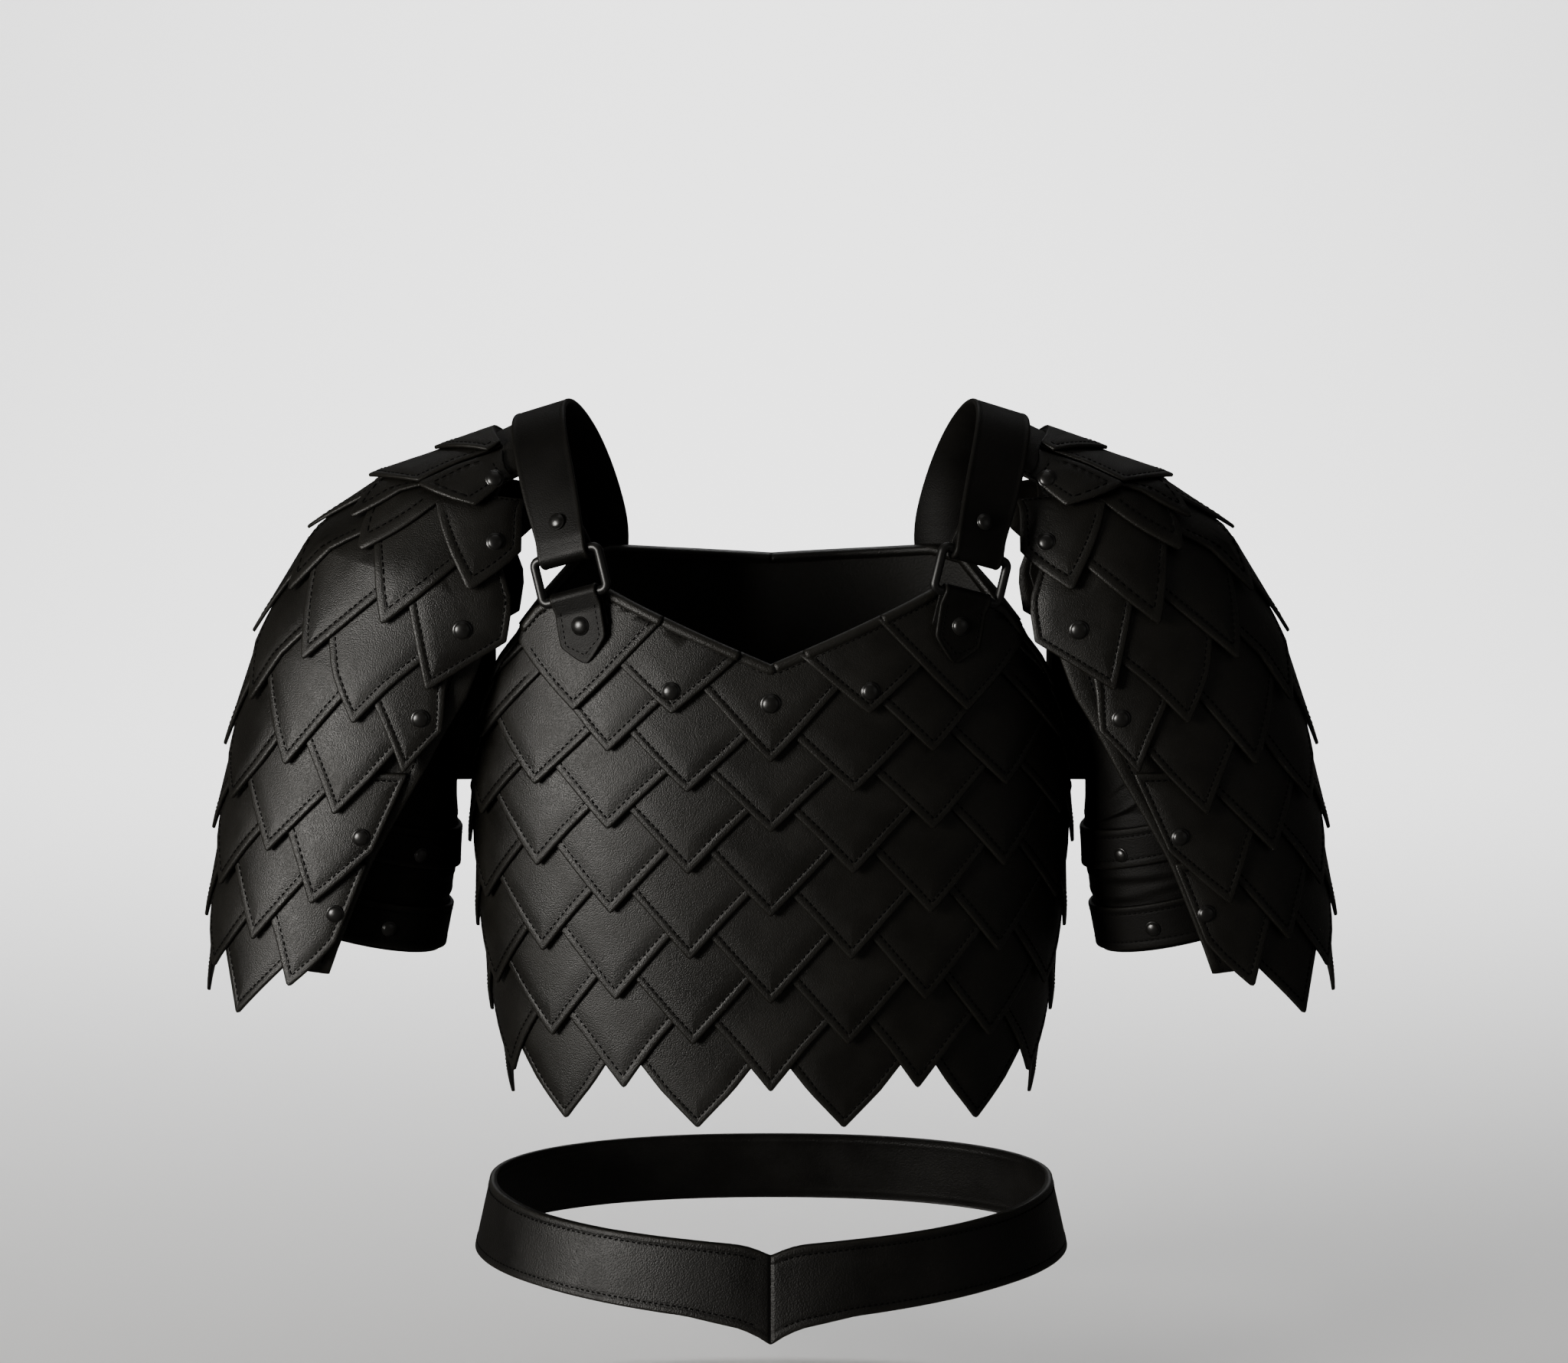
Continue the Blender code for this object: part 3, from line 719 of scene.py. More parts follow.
binding_parts = []
binding_sewing = []
count = 480
spots = -10 + np.arange(count + 1) * 20 / count
for corner in (-2.2, 0.0, 2.2):
    spots[np.argmin(np.abs(spots - corner))] = corner
heights = np.interp(np.abs(spots), EDGE[:, 0], EDGE[:, 1])
levels = np.interp(-heights, [-z for z in LEVEL_HEIGHTS], LEVELS)
edge_points = torso_at(np.stack([spots, heights], axis=1), np.zeros(count + 1))
edge_out = torso_at(np.stack([spots, heights], axis=1), np.full(count + 1, 0.001)) - edge_points
edge_out /= np.linalg.norm(edge_out, axis=1)[:, None]
ahead = np.roll(edge_points[:-1], -1, axis=0) - edge_points[:-1]
ahead /= np.linalg.norm(ahead, axis=1)[:, None]
tangent = ahead + np.roll(ahead, 1, axis=0)
tangent = np.concatenate([tangent, tangent[:1]])
edge_down = np.cross(tangent, edge_out)
edge_down *= -np.sign(edge_down[:, 2:3])
edge_down /= np.linalg.norm(edge_down, axis=1)[:, None]
runs = []
for i in range(count + 1):
    label, lift = top_layer(spots[i], levels[i] + 0.08)
    if not runs or runs[-1][0] != (label, spots[i] > 0):
        if runs:
            runs[-1][1].append((edge_points[i], edge_down[i], edge_out[i], runs[-1][1][-1][3]))
        runs.append([(label, spots[i] > 0), []])
    runs[-1][1].append((edge_points[i], edge_down[i], edge_out[i], lift))
for _, stations in runs:
    if len(stations) < 2:
        continue
    binding_parts.append(binding_strip(stations))
    far = lengths_along([station[0] for station in stations])
    number = int(far[-1] / STITCH_PITCH)
    for j in range(number):
        ends = []
        for s in (-0.36, 0.36):
            at = (j + 0.5 + s) * far[-1] / number
            ends.append([
                np.array([np.interp(at, far, [st[k][x] for st in stations]) for x in range(3)])
                for k in (0, 1, 2)
            ] + [np.interp(at, far, [st[3] for st in stations])])
        sewn = [spot + down * (BINDING_WIDTH + 0.0005) for spot, down, _, _ in ends]
        out = ends[0][2]
        lift = ends[0][3]
        surface = lambda at, offset: at + out * offset[:, None]
        made = stitches(surface, lambda at: np.full(len(at), lift + 0.0002), [sewn])
        binding_sewing.append(made)
binding = mesh_object("edge_binding", binding_parts, scale_leather)
binding_thread = mesh_object("edge_binding_stitches", binding_sewing, thread)
declare(
    binding, [binding_thread], "leather", [],
    flat=(1.75, 0.020), held="folded", rests_on=["bodice_wall_leather"], area=min(flat_area(binding), 0.035),
)

# Shoulder walls
# Each shoulder piece is sewn to a curved panel of 2 mm leather that hangs over the upper arm.
# Its front and back edges are turned under and stitched, and show beside the scales.

# Level, middle x and z, outer x and z, half depth, spread of columns
PAULDRON = np.array(
    (
        (-3, 0.139, -0.036, 0.148, -0.0103, 0.040, 0.0),
        (-1, 0.160, -0.043, 0.196, -0.033, 0.047, 0.0),
        (1, 0.171, -0.058, 0.235, -0.052, 0.053, 0.0),
        (3, 0.177, -0.106, 0.272, -0.083, 0.069, 0.0),
        (5, 0.202, -0.163, 0.303, -0.144, 0.071, 0.05),
        (7, 0.216, -0.212, 0.320, -0.211, 0.072, 0.17),
        (9, 0.237, -0.266, 0.327, -0.260, 0.072, 0.20),
        (11, 0.253, -0.319, 0.332, -0.313, 0.070, 0.20),
        (13, 0.263, -0.368, 0.331, -0.358, 0.068, 0.0),
    )
)
SIDES = ((1, "right"), (-1, "left"))


def pauldron_flat(c, u):
    mx, mz, ox, oz, depth, spread = (np.interp(u, PAULDRON[:, 0], PAULDRON[:, i]) for i in range(1, 7))
    turn = np.radians(22.5 * c * (1 + spread * (1 - (c / 4) ** 2)))
    return np.stack(
        [mx + (ox - mx) * np.cos(turn), depth * np.sin(turn), mz + (oz - mz) * np.cos(turn)],
        axis=1,
    )


def pauldron(side):
    def place(at, offset):
        points = moved_out(pauldron_flat, at[:, 0], at[:, 1], offset, 0.3, 0.3)
        return points * (side, 1, 1)

    return place


def wall_edge(u):
    return np.interp(u, (-3, 5, 7, 9, 12), (4.0, 4.7, 4.5, 4.1, 3.7))


def raised_sheet(place, a_values, b_values, profile, thick):
    """A sheet with thickness whose outer height follows a profile of its two numbers."""
    at = np.array([(a, b) for b in b_values for a in a_values], float)
    heights, wear_and_highlight = profile(at)
    outer = place(at, heights)
    inner = place(at, np.full(len(at), -thick))
    wide, tall = len(a_values), len(b_values)
    faces = []
    size = wide * tall
    for r in range(tall - 1):
        for c in range(wide - 1):
            quad = (r * wide + c, (r + 1) * wide + c, (r + 1) * wide + c + 1, r * wide + c + 1)
            faces.append(quad)
            faces.append(tuple(size + i for i in reversed(quad)))
    rim = [c for c in range(wide)] + [r * wide + wide - 1 for r in range(1, tall)]
    rim += [(tall - 1) * wide + c for c in range(wide - 2, -1, -1)]
    rim += [r * wide for r in range(tall - 2, 0, -1)]
    for i, j in zip(rim, rim[1:] + rim[:1]):
        faces.append((i, j, size + j, size + i))
    return np.concatenate([outer, inner]), faces, [*wear_and_highlight, *([0.0] * size)]


def rim_height(distance):
    """Height of the turned edge at distances from it, and how much lighter its colour is: partly wear, partly
    painted highlight.
    """
    table = np.array(RIM)
    return np.interp(distance, table[:, 0], table[:, 1]), np.interp(distance, table[:, 0], table[:, 2])


WALL_HALF_WIDTH = 0.060
# Where the wall's turned edge needs points, as shares of the half width
near = [1 - d / WALL_HALF_WIDTH for d, _, _ in RIM]
wall_columns = [-v for v in near] + list(np.linspace(-0.88, 0.88, 25)) + near[::-1]
for side, label in SIDES:
    surface = pauldron(side)


    def place(at, offset):
        return surface(np.stack([at[:, 0] * wall_edge(at[:, 1]), at[:, 1]], axis=1), offset)

    part = raised_sheet(
        place,
        wall_columns,
        np.linspace(-3, 11.6, 50),
        lambda at: rim_height((1 - np.abs(at[:, 0])) * WALL_HALF_WIDTH),
        WALL,
    )
    wall = mesh_object(f"shoulder_wall_leather_{label}", [part], scale_leather)
    ends = []
    for share in (STITCH_LINE / WALL_HALF_WIDTH - 1, 1 - STITCH_LINE / WALL_HALF_WIDTH):
        on_edge = lambda v: np.stack([np.full(len(v), share), v], axis=1)
        ends += stitch_run(place, np.linspace(-2.9, 11.5, 200), on_edge)
    sewn = stitches(place, lambda at: np.zeros(len(at)), ends)
    wall_thread = mesh_object(f"shoulder_wall_stitches_{label}", [sewn], thread)
    area = flat_area(wall)
    declare(
        wall, [wall_thread], "leather", [f"shoulder_wall_{label}"],
        flat=(0.24, area / 0.24 / 0.9), held="draped", rests_on=[f"strap_leather_{label}"], area=area,
    )

# Shoulder scales
# Fourteen rows of scales cover each shoulder wall from the strap to above the elbow. The
# scales at the front and back edges have one straight side, which follows the wall's edge.

# Front and back edge scales: row, column of the tip, the straight side's foot and its top column
EDGE_SCALES = {
    3: (4, 4.85, 1.90, 5.05),
    5: (4, 4.85, 3.75, 4.45),
    7: (4, 4.50, 5.90, 4.10),
    10: (3, 4.00, 8.70, 4.12),
    12: (3, 3.76, 10.75, 3.98),
}
# The top two rows narrow towards the strap, so fewer scales fill them: row, corners, turned edges
CAP_SCALES = (
    (0, ((0.0, -0.90), (2.25, -1.90), (2.0, -2.35), (-2.0, -2.35), (-2.25, -1.90)), (1, 1, 0, 0, 1)),
    (1, ((0.0, 1.0), (2.18, 0.42), (2.05, -2.35), (-2.05, -2.35), (-2.18, 0.42)), (1, 1, 0, 0, 1)),
    (1, ((3.95, 1.05), (4.15, -0.6), (4.05, -1.7), (2.32, -2.3), (2.24, 0.58)), (1, 1, 1, 0, 1)),
    (1, ((-3.95, 1.05), (-4.15, -0.6), (-4.05, -1.7), (-2.32, -2.3), (-2.24, 0.58)), (1, 1, 1, 0, 1)),
)
# Level of the walls' upper ends at the strap
CAP_TOP = -2.35
# Scales whose tips lie off the even lattice: row and column, the tip's column and level
MOVED_TIPS = {(2, 1): (1.41, 2.18), (3, 2): (2.12, 2.86)}
for side, label in SIDES:
    surface = pauldron(side)
    for row in range(14):
        laid = ([], [])
        lift = row_lift(row)
        odd = row % 2 == 1
        for cap_row, corners, weights in CAP_SCALES:
            if cap_row == row:
                lay(laid, surface, lift, corners, weights)
        if row < 2:
            tips = ()
        elif odd:
            tips = (-4, -2, 0, 2, 4) if row <= 7 else (-2, 0, 2)
        else:
            tips = (-1, 1) if row == 2 else (-3, -1, 1, 3)
        for c in tips:
            corners, weights = scale_corners(c, row, highest=CAP_TOP)
            if (row, abs(c)) in MOVED_TIPS:
                tip_c, tip_u = MOVED_TIPS[row, abs(c)]
                move = (math.copysign(tip_c, c) - c, tip_u - row)
                corners = [(a + move[0], max(b + move[1], CAP_TOP)) for a, b in corners]
            if row in EDGE_SCALES and abs(c) == EDGE_SCALES[row][0]:
                s = 1 if c > 0 else -1
                _, foot_c, foot_u, top_c = EDGE_SCALES[row]
                top = max(row - 3, CAP_TOP)
                corners = [(c, row), (s * foot_c, foot_u), (s * top_c, top)]
                corners += [(c - s * HALF_SCALE, top), (c - s * HALF_SCALE, row - 2 * HALF_SCALE)]
                weights = (1, 1, 1, 0, 0)
            elif row - 2 * HALF_SCALE < CAP_TOP:
                half = (row - CAP_TOP) / 2
                corners = [(c, row), (c + half, CAP_TOP), (c - half, CAP_TOP)]
                weights = (1, 0, 0)
            lay(laid, surface, lift, corners, weights)
        name = f"shoulder_scales_{row:02d}_{label}"
        rests_on = f"shoulder_wall_leather_{label}"
        finish_row(name, (f"shoulder_row_{row:02d}_{label}",), laid, False, rests_on)

# Tabs, rings and straps
# A pointed tab of 1.8 mm leather is riveted through the top scale and folds round the ring's
# lower bar. The strap folds round the upper bar and goes over the shoulder to the back.

STRAP_WIDTH = 0.033
STRAP_THICK = 0.0030
FOLD_WIDTH = 0.0310
RING_WIDTH = 0.0480
RING_HEIGHT = 0.0312
RING_WIRE = 0.0056
TAB_WIDTH = 0.030
TAB_THICK = 0.0018
TAB_DROP = 0.039
TILT = math.radians(16)
TAB_SLANT = math.radians(5)
CLEARANCE = 0.0003
# Height of a rivet's dome as a share of its radius
DOME = 0.42


def black_metal(name, roughness, colour, gloss):
    """Steel under a black satin lacquer, a little uneven."""
    material, tree, shader = new_material(name, Specular_IOR_Level=gloss)
    place = add(tree, "TexCoord")
    cloud = add(tree, "TexNoise", {"Scale": 420, "Detail": 4})
    tone = tone_pair(tree, colour, 0.2)
    matt = add(tree, "MapRange", {"To Min": roughness - 0.06, "To Max": roughness + 0.08})
    raised = add(tree, "Bump", {"Strength": 0.3, "Distance": 0.00008})
    wire(
        tree,
        (place, "Object", cloud, "Vector"), (cloud, "Fac", tone, "Factor"),
        (tone, "Result", shader, "Base Color"), (cloud, "Fac", matt, "Value"),
        (matt, 0, shader, "Roughness"), (cloud, "Fac", raised, "Height"),
        (raised, "Normal", shader, "Normal"),
    )
    return material


ring_metal = black_metal("ring_metal", 0.38, (0.0050, 0.0048, 0.0044), 0.55)
rivet_metal = black_metal("rivet_metal", 0.30, (0.0060, 0.0057, 0.0050), 0.80)
# The strap's lighter edge colour is partly rubbed wear and partly painted highlight.
STRAP_RUBBED_AND_HIGHLIGHT = (0.0075, 0.0069, 0.0055)
strap_leather = leather(
    "strap_leather", (0.0030, 0.0027, 0.0021), STRAP_RUBBED_AND_HIGHLIGHT, 0.50, 1300, 0.00018, gloss=0.24
)


def unit(vector):
    return vector / np.linalg.norm(vector)


def tab_frame():
    """Where the tab lies on the bodice: a point, and the directions across, up and out."""
    spots = torso_at(np.array([(2.43, -0.118), (2.73, -0.118), (2.13, -0.118)]), np.zeros(3))
    across = spots[1] - spots[2]
    across[2] = 0
    across = unit(across)
    up = np.array([0.0, 0.055, 1.0])
    up = unit(up - across * (up @ across))
    out = unit(np.cross(across, up))
    turned = np.array(Matrix.Rotation(-TILT, 3, Vector(out)))
    return spots[0], turned @ across, turned @ up, out


def fold_line(bar, run, out, radius, behind, close=0.0):
    """Centres of a strap that comes down behind a bar and passes round it.

    close is how far the end behind is pressed towards the front layer.
    """
    line = []
    for share in (1.0, 0.85, 0.6, 0.3):
        pressed = close * min(1.0, 1.4 * share) ** 2
        line.append(bar - out * (radius - pressed) + run * behind * share)
    for i in range(13):
        turn = math.pi * i / 12
        line.append(bar - out * radius * math.cos(turn) - run * radius * math.sin(turn))
    return line


def band(stations, thick, rim):
    """A flat strap through stations of centre, half-width vector and outward direction.

    Its long edges have a rounded, slightly raised margin rim metres wide.
    """
    section = []
    for share, height in ((0.0, -0.45), (0.12, -0.1), (0.35, 0.16), (0.7, 0.16), (1.0, -0.06), (1.4, 0.0)):
        section.append((share * rim, height * 0.001))
    points = []
    for centre, half, out in stations:
        width = np.linalg.norm(half)
        side = half / width
        for d, h in section:
            points.append(centre - side * max(width - d, 0.0) + out * (thick / 2 + h))
        for d, h in reversed(section):
            points.append(centre + side * max(width - d, 0.0) + out * (thick / 2 + h))
        for s, d, h in ((1, 0.0, 0.35), (1, 0.0004, 0.5), (-1, 0.0004, 0.5), (-1, 0.0, 0.35)):
            points.append(centre + side * s * max(width - d, 0.0) - out * thick * h)
    # The rounded margins are painted lighter: partly rubbed wear, partly painted highlight.
    margin = [0.7, 1.0, 0.8, 0.45, 0.1, 0.0]
    wear_and_highlight = (margin + margin[::-1] + [0.3, 0, 0, 0.3]) * len(stations)
    faces = swept_faces(len(stations), 2 * len(section) + 4)
    length = lengths_along([station[0] for station in stations])[-1]
    return (np.array(points), faces, wear_and_highlight), length


def rivet(spot, out, across, radius):
    """A domed cap on a thin flange, pressed a little into the leather."""
    section = [
        (1.12, -0.10), (1.14, 0.04), (1.04, 0.10), (0.96, 0.12), (0.93, DOME * 0.45),
        (0.80, DOME * 0.75), (0.60, DOME * 0.96), (0.35, DOME * 1.10), (0.12, DOME * 1.16),
    ]
    out = unit(out)
    across = unit(across - out * (across @ out))
    other = np.cross(out, across)
    points = []
    number = 20
    for far, high in section:
        for i in range(number):
            turn = 2 * math.pi * i / number
            ring = across * math.cos(turn) + other * math.sin(turn)
            points.append(spot + ring * far * radius + out * high * radius)
    points.append(spot + out * DOME * 1.18 * radius)
    points.append(spot - out * 0.10 * radius)
    faces = []
    for k in range(len(section) - 1):
        faces += ring_faces(k, k + 1, number)
    last = (len(section) - 1) * number
    for i in range(number):
        j = (i + 1) % number
        faces.append((last + i, last + j, len(points) - 2))
        faces.append((j, i, len(points) - 1))
    return np.array(points), faces, [0.0] * len(points)


def wire_ring(centre, across, up, out):
    """A rectangle of round wire with rounded corners."""
    half_w = RING_WIDTH / 2 - RING_WIRE / 2
    half_h = RING_HEIGHT / 2 - RING_WIRE / 2
    corner = 0.0036
    line = []
    for sx, sy, start in ((1, 1, 0), (-1, 1, 90), (-1, -1, 180), (1, -1, 270)):
        for i in range(9):
            turn = math.radians(start + 90 * i / 8)
            a = sx * (half_w - corner) + corner * math.cos(turn)
            b = sy * (half_h - corner) + corner * math.sin(turn)
            line.append((centre + across * a + up * b, across * math.cos(turn) + up * math.sin(turn)))
    number = 20
    points = []
    for spot, away in line:
        for i in range(number):
            turn = 2 * math.pi * i / number
            points.append(spot + (away * math.cos(turn) + out * math.sin(turn)) * RING_WIRE / 2)
    faces = swept_faces(len(line), number, closed=True)
    return np.array(points), faces, [0.0] * len(points)


def both_sides(part, side):
    points, faces, wear_and_highlight = part
    return points * (side, 1, 1), faces, wear_and_highlight


middle, across, up, out = tab_frame()
lie = 0.0074
bar_gap = RING_WIRE / 2 + CLEARANCE + TAB_THICK / 2
low_bar = middle + out * (lie + bar_gap + TAB_THICK / 2) + up * 0.0122
tab_stations = [
    (spot, across * TAB_WIDTH / 2) for spot in fold_line(low_bar, -up, out, bar_gap, 0.020)
]
near_face = low_bar + out * (TAB_THICK / 2 + 0.0006 - bar_gap + TAB_THICK)
tab_up = np.array(Matrix.Rotation(TAB_SLANT, 3, Vector(out))) @ up
for drop, share in (
    (0.007, 1.0), (0.011, 1.0), (0.016, 1.0), (0.021, 1.0), (0.0255, 0.99), (0.0275, 0.93),
    (0.030, 0.78), (0.033, 0.58), (0.036, 0.37), (0.0382, 0.19), (TAB_DROP, 0.06),
):
    tab_stations.append((near_face - tab_up * drop, across * TAB_WIDTH / 2 * share))
rise = RING_HEIGHT - RING_WIRE
high_bar = low_bar + up * rise
# Over the shoulder: x, y, z, then the width's direction
OVER = (
    (0.1293, -0.0690, -0.0450, 0.957, 0.165, -0.270),
    (0.1350, -0.0500, -0.0220, 0.955, 0.090, -0.283),
    (0.1376, -0.0310, -0.0095, 0.956, 0.030, -0.292),
    (0.1375, -0.0120, -0.0042, 0.956, -0.020, -0.292),
    (0.1355, 0.0070, -0.0035, 0.955, -0.080, -0.290),
    (0.1310, 0.0260, -0.0080, 0.950, -0.150, -0.280),
    (0.1245, 0.0440, -0.0180, 0.950, -0.200, -0.240),
    (0.1175, 0.0620, -0.0330, 0.955, -0.230, -0.170),
    (0.1110, 0.0770, -0.0520, 0.955, -0.260, -0.090),
)
run = np.array(OVER[0][:3]) - high_bar
run = unit(run - across * (run @ across))
strap_out = np.cross(across, run)
radius = RING_WIRE / 2 + CLEARANCE + STRAP_THICK / 2
# The end behind is pared narrower, so it doesn't show beside the strap
closing = 2 * radius - STRAP_THICK - 0.0004
strap_stations = []
for i, spot in enumerate(fold_line(high_bar, run, strap_out, radius, 0.022, closing)):
    wide = FOLD_WIDTH * (0.74, 0.80, 0.88, 0.96)[i] if i < 4 else FOLD_WIDTH
    strap_stations.append((spot, across * wide / 2))
fold_end = len(strap_stations)
for far in (0.004, 0.007, 0.010):
    strap_stations.append((high_bar + strap_out * radius + run * far, across * FOLD_WIDTH / 2))
first = np.array(OVER[0])
between = unit((across + unit(first[3:])) / 2) * (FOLD_WIDTH + 0.001) / 2
strap_stations.append(((strap_stations[-1][0] + first[:3]) / 2, between))
for x, y, z, a, b, c in OVER:
    strap_stations.append((np.array([x, y, z]), unit(np.array([a, b, c])) * STRAP_WIDTH / 2))
for z, offset in ((-0.082, 0.0086), (-0.100, 0.0081), (-0.128, 0.0078)):
    spots = torso_at(np.array([(7.55, z), (7.35, z), (7.75, z)]), np.full(3, offset))
    strap_stations.append((spots[0], unit(spots[1] - spots[2]) * STRAP_WIDTH / 2))


def smooth_stations(stations, start):
    """Finer stations on one smooth curve through the given ones, from a start index on."""
    kept = stations[:start]
    lines = [np.array([s[k] for s in stations[start:]]) for k in (0, 1)]
    count = len(lines[0])
    for i in range(count - 1):
        a, b = max(i - 1, 0), min(i + 2, count - 1)
        for t in (0, 0.25, 0.5, 0.75):
            values = []
            for line in lines:
                p0, p1, p2, p3 = line[a], line[i], line[i + 1], line[b]
                square = 2 * p0 - 5 * p1 + 4 * p2 - p3
                cube = 3 * p1 - p0 - 3 * p2 + p3
                values.append(0.5 * (2 * p1 + (p2 - p0) * t + square * t**2 + cube * t**3))
            kept.append(tuple(values))
    kept.append(stations[-1])
    for _ in range(8):
        old = list(kept)
        for i in range(start + 2, len(kept) - 6):
            kept[i] = tuple((old[i - 1][k] + 2 * old[i][k] + old[i + 1][k]) / 4 for k in (0, 1))
    return kept


def with_outs(stations, probe, facing):
    """Adds the outward direction, turned so that the probe station's faces the given way."""
    done = []
    for i, (spot, half) in enumerate(stations):
        before = stations[max(i - 1, 0)][0]
        after = stations[min(i + 1, len(stations) - 1)][0]
        done.append((spot, half, unit(np.cross(unit(after - before), unit(half)))))
    if done[probe][2] @ facing < 0:
        done = [(spot, half, -way) for spot, half, way in done]
    return done


tab_line = with_outs(tab_stations, -3, out)
strap_line = with_outs(smooth_stations(strap_stations, fold_end), 44, np.array([0, -0.5, 1]))
tab_part, tab_length = band(tab_line, TAB_THICK, 0.0026)
strap_part, strap_length = band(strap_line, STRAP_THICK, 0.0028)
# Stitches on the tab's front: a line across under the fold, down the sides and round the point
TAB_SEAM = (
    (-0.0112, 0.0065), (-0.0112, 0.0262), (0.0, 0.0342), (0.0112, 0.0262), (0.0112, 0.0065),
    (-0.0112, 0.0065),
)
tab_ends = []
for (x0, y0), (x1, y1) in zip(TAB_SEAM, TAB_SEAM[1:]):
    length = math.hypot(x1 - x0, y1 - y0)
    number = max(1, int(length / 0.0030))
    for j in range(number):
        pair = []
        for s in (0.16, 0.84):
            t = (j + s) / number
            pair.append(near_face + across * (x0 + (x1 - x0) * t) - tab_up * (y0 + (y1 - y0) * t))
        tab_ends.append(np.array(pair))
on_tab = lambda at, offset: at + out * offset[:, None]
tab_seam = stitches(on_tab, lambda at: np.full(len(at), TAB_THICK / 2 + 0.0001), tab_ends, 0.00036)
ring_part = wire_ring(low_bar + up * rise / 2, across, up, out)
tab_rivet = rivet(near_face - tab_up * 0.0172 + out * TAB_THICK / 2, out, across, 0.0050)
strap_rivet_at = (high_bar + strap_out * radius + run * 0.0185, across, strap_out)
for side, label in SIDES:
    tab = mesh_object(f"tab_leather_{label}", [both_sides(tab_part, side)], strap_leather)
    tab_thread = mesh_object(f"tab_stitches_{label}", [both_sides(tab_seam, side)], thread)
    ring = mesh_object(f"ring_wire_{label}", [both_sides(ring_part, side)], ring_metal)
    strap = mesh_object(f"strap_leather_{label}", [both_sides(strap_part, side)], strap_leather)
    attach(ring, "root")
    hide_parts(f"ring_{label}")
    rests_on = ["scales_01", ring.name]
    declare(
        tab, [tab_thread], "leather", [f"tab_{label}"],
        flat=(TAB_WIDTH, tab_length), held="folded", rests_on=rests_on, area=0.88 * TAB_WIDTH * tab_length,
    )
    declare(
        strap, [], "leather", [f"strap_{label}"],
        flat=(STRAP_WIDTH, strap_length), held="folded", rests_on=rests_on,
    )

# Sleeves
# The short under-sleeves are thin soft leather, cut in one piece and closed by a slanting seam.
# They crumple where the arm bends, and two stiffer bands of the same leather go round them.

# Inner x and z, outer x and z, half depth
SLEEVE = np.array(
    (
        (0.1670, -0.2272, 0.1670, -0.0840, 0.034),
        (0.1895, -0.2274, 0.1960, -0.0760, 0.037),
        (0.1895, -0.2390, 0.2340, -0.0940, 0.050),
        (0.1890, -0.2460, 0.2640, -0.1260, 0.056),
        (0.1890, -0.2490, 0.2820, -0.1800, 0.057),
        (0.1893, -0.2540, 0.2890, -0.2290, 0.056),
        (0.1910, -0.2840, 0.2920, -0.2580, 0.054),
        (0.1955, -0.3050, 0.2950, -0.2810, 0.052),
        (0.2005, -0.3300, 0.2985, -0.3070, 0.050),
    )
)
# The lighter edge colour of the sleeve bands is partly rubbed wear and partly painted highlight.
SLEEVE_RUBBED_AND_HIGHLIGHT = (0.0070, 0.0064, 0.0052)
# This leather is darker than the scale leather; the extra darkness is painted shade, for sleeves that lie in
# the shade of the shoulder pieces.
soft_leather = leather(
    "soft_leather", (0.0028, 0.0025, 0.0020), SLEEVE_RUBBED_AND_HIGHLIGHT, 0.58, 1200, 0.00022, gloss=0.16
)
# Creases: section, turn in degrees, length round in degrees, depth, slant
CREASES = (
    (3.6, 300, 80, 0.0016, 0.4), (4.2, 250, 90, 0.0018, -0.5), (4.7, 285, 70, 0.0014, 0.6),
    (4.95, 215, 80, 0.0015, 0.3), (6.05, 235, 90, 0.0013, 0.25), (6.35, 290, 80, 0.0014, -0.3),
    (6.55, 200, 70, 0.0012, 0.2), (6.15, 90, 90, 0.0013, 0.3), (4.4, 90, 100, 0.0016, -0.4),
    (3.2, 110, 80, 0.0015, 0.5), (5.95, 330, 60, 0.0011, -0.2), (6.5, 30, 80, 0.0012, 0.3),
)


def sleeve_surface(side):
    def place(at, offset):
        turn, s = at[:, 0], at[:, 1]
        inner_x, inner_z, outer_x, outer_z, depth = (np.interp(s, range(9), SLEEVE[:, i]) for i in range(5))
        centre = np.stack([(inner_x + outer_x) / 2, np.zeros(len(s)), (inner_z + outer_z) / 2], axis=1)
        half = np.stack([(outer_x - inner_x) / 2, np.zeros(len(s)), (outer_z - inner_z) / 2], axis=1)
        length = np.linalg.norm(half, axis=1)
        points = centre + half / length[:, None] * ((length + offset) * np.cos(turn))[:, None]
        points[:, 1] += (depth + offset) * np.sin(turn)
        return points * (side, 1, 1)

    return place


def crease_height(at):
    """Listed folds, faded out towards the sleeve's ends and under the bands."""
    turn = np.degrees(at[:, 0]) % 360
    height = np.zeros(len(at))
    for s, middle, length, depth, slant in CREASES:
        away = (turn - middle + 180) % 360 - 180
        across_it = at[:, 1] - s - slant * away / 90
        along = np.clip(1 - (away / length) ** 2, 0, 1)
        trough = 0.75 * np.exp(-(((across_it - 0.2) / 0.10) ** 2))
        height += depth * along * (np.exp(-((across_it / 0.11) ** 2)) - trough)
    ends = np.clip((at[:, 1] - 1.6) / 0.8, 0, 1) * np.clip((7.95 - at[:, 1]) / 0.3, 0, 1)
    banded = np.exp(-(((at[:, 1] - 5.42) / 0.42) ** 4)) + np.exp(-(((at[:, 1] - 7.38) / 0.52) ** 4))
    return height * ends * (1 - np.clip(banded, 0, 1)) * 0.55


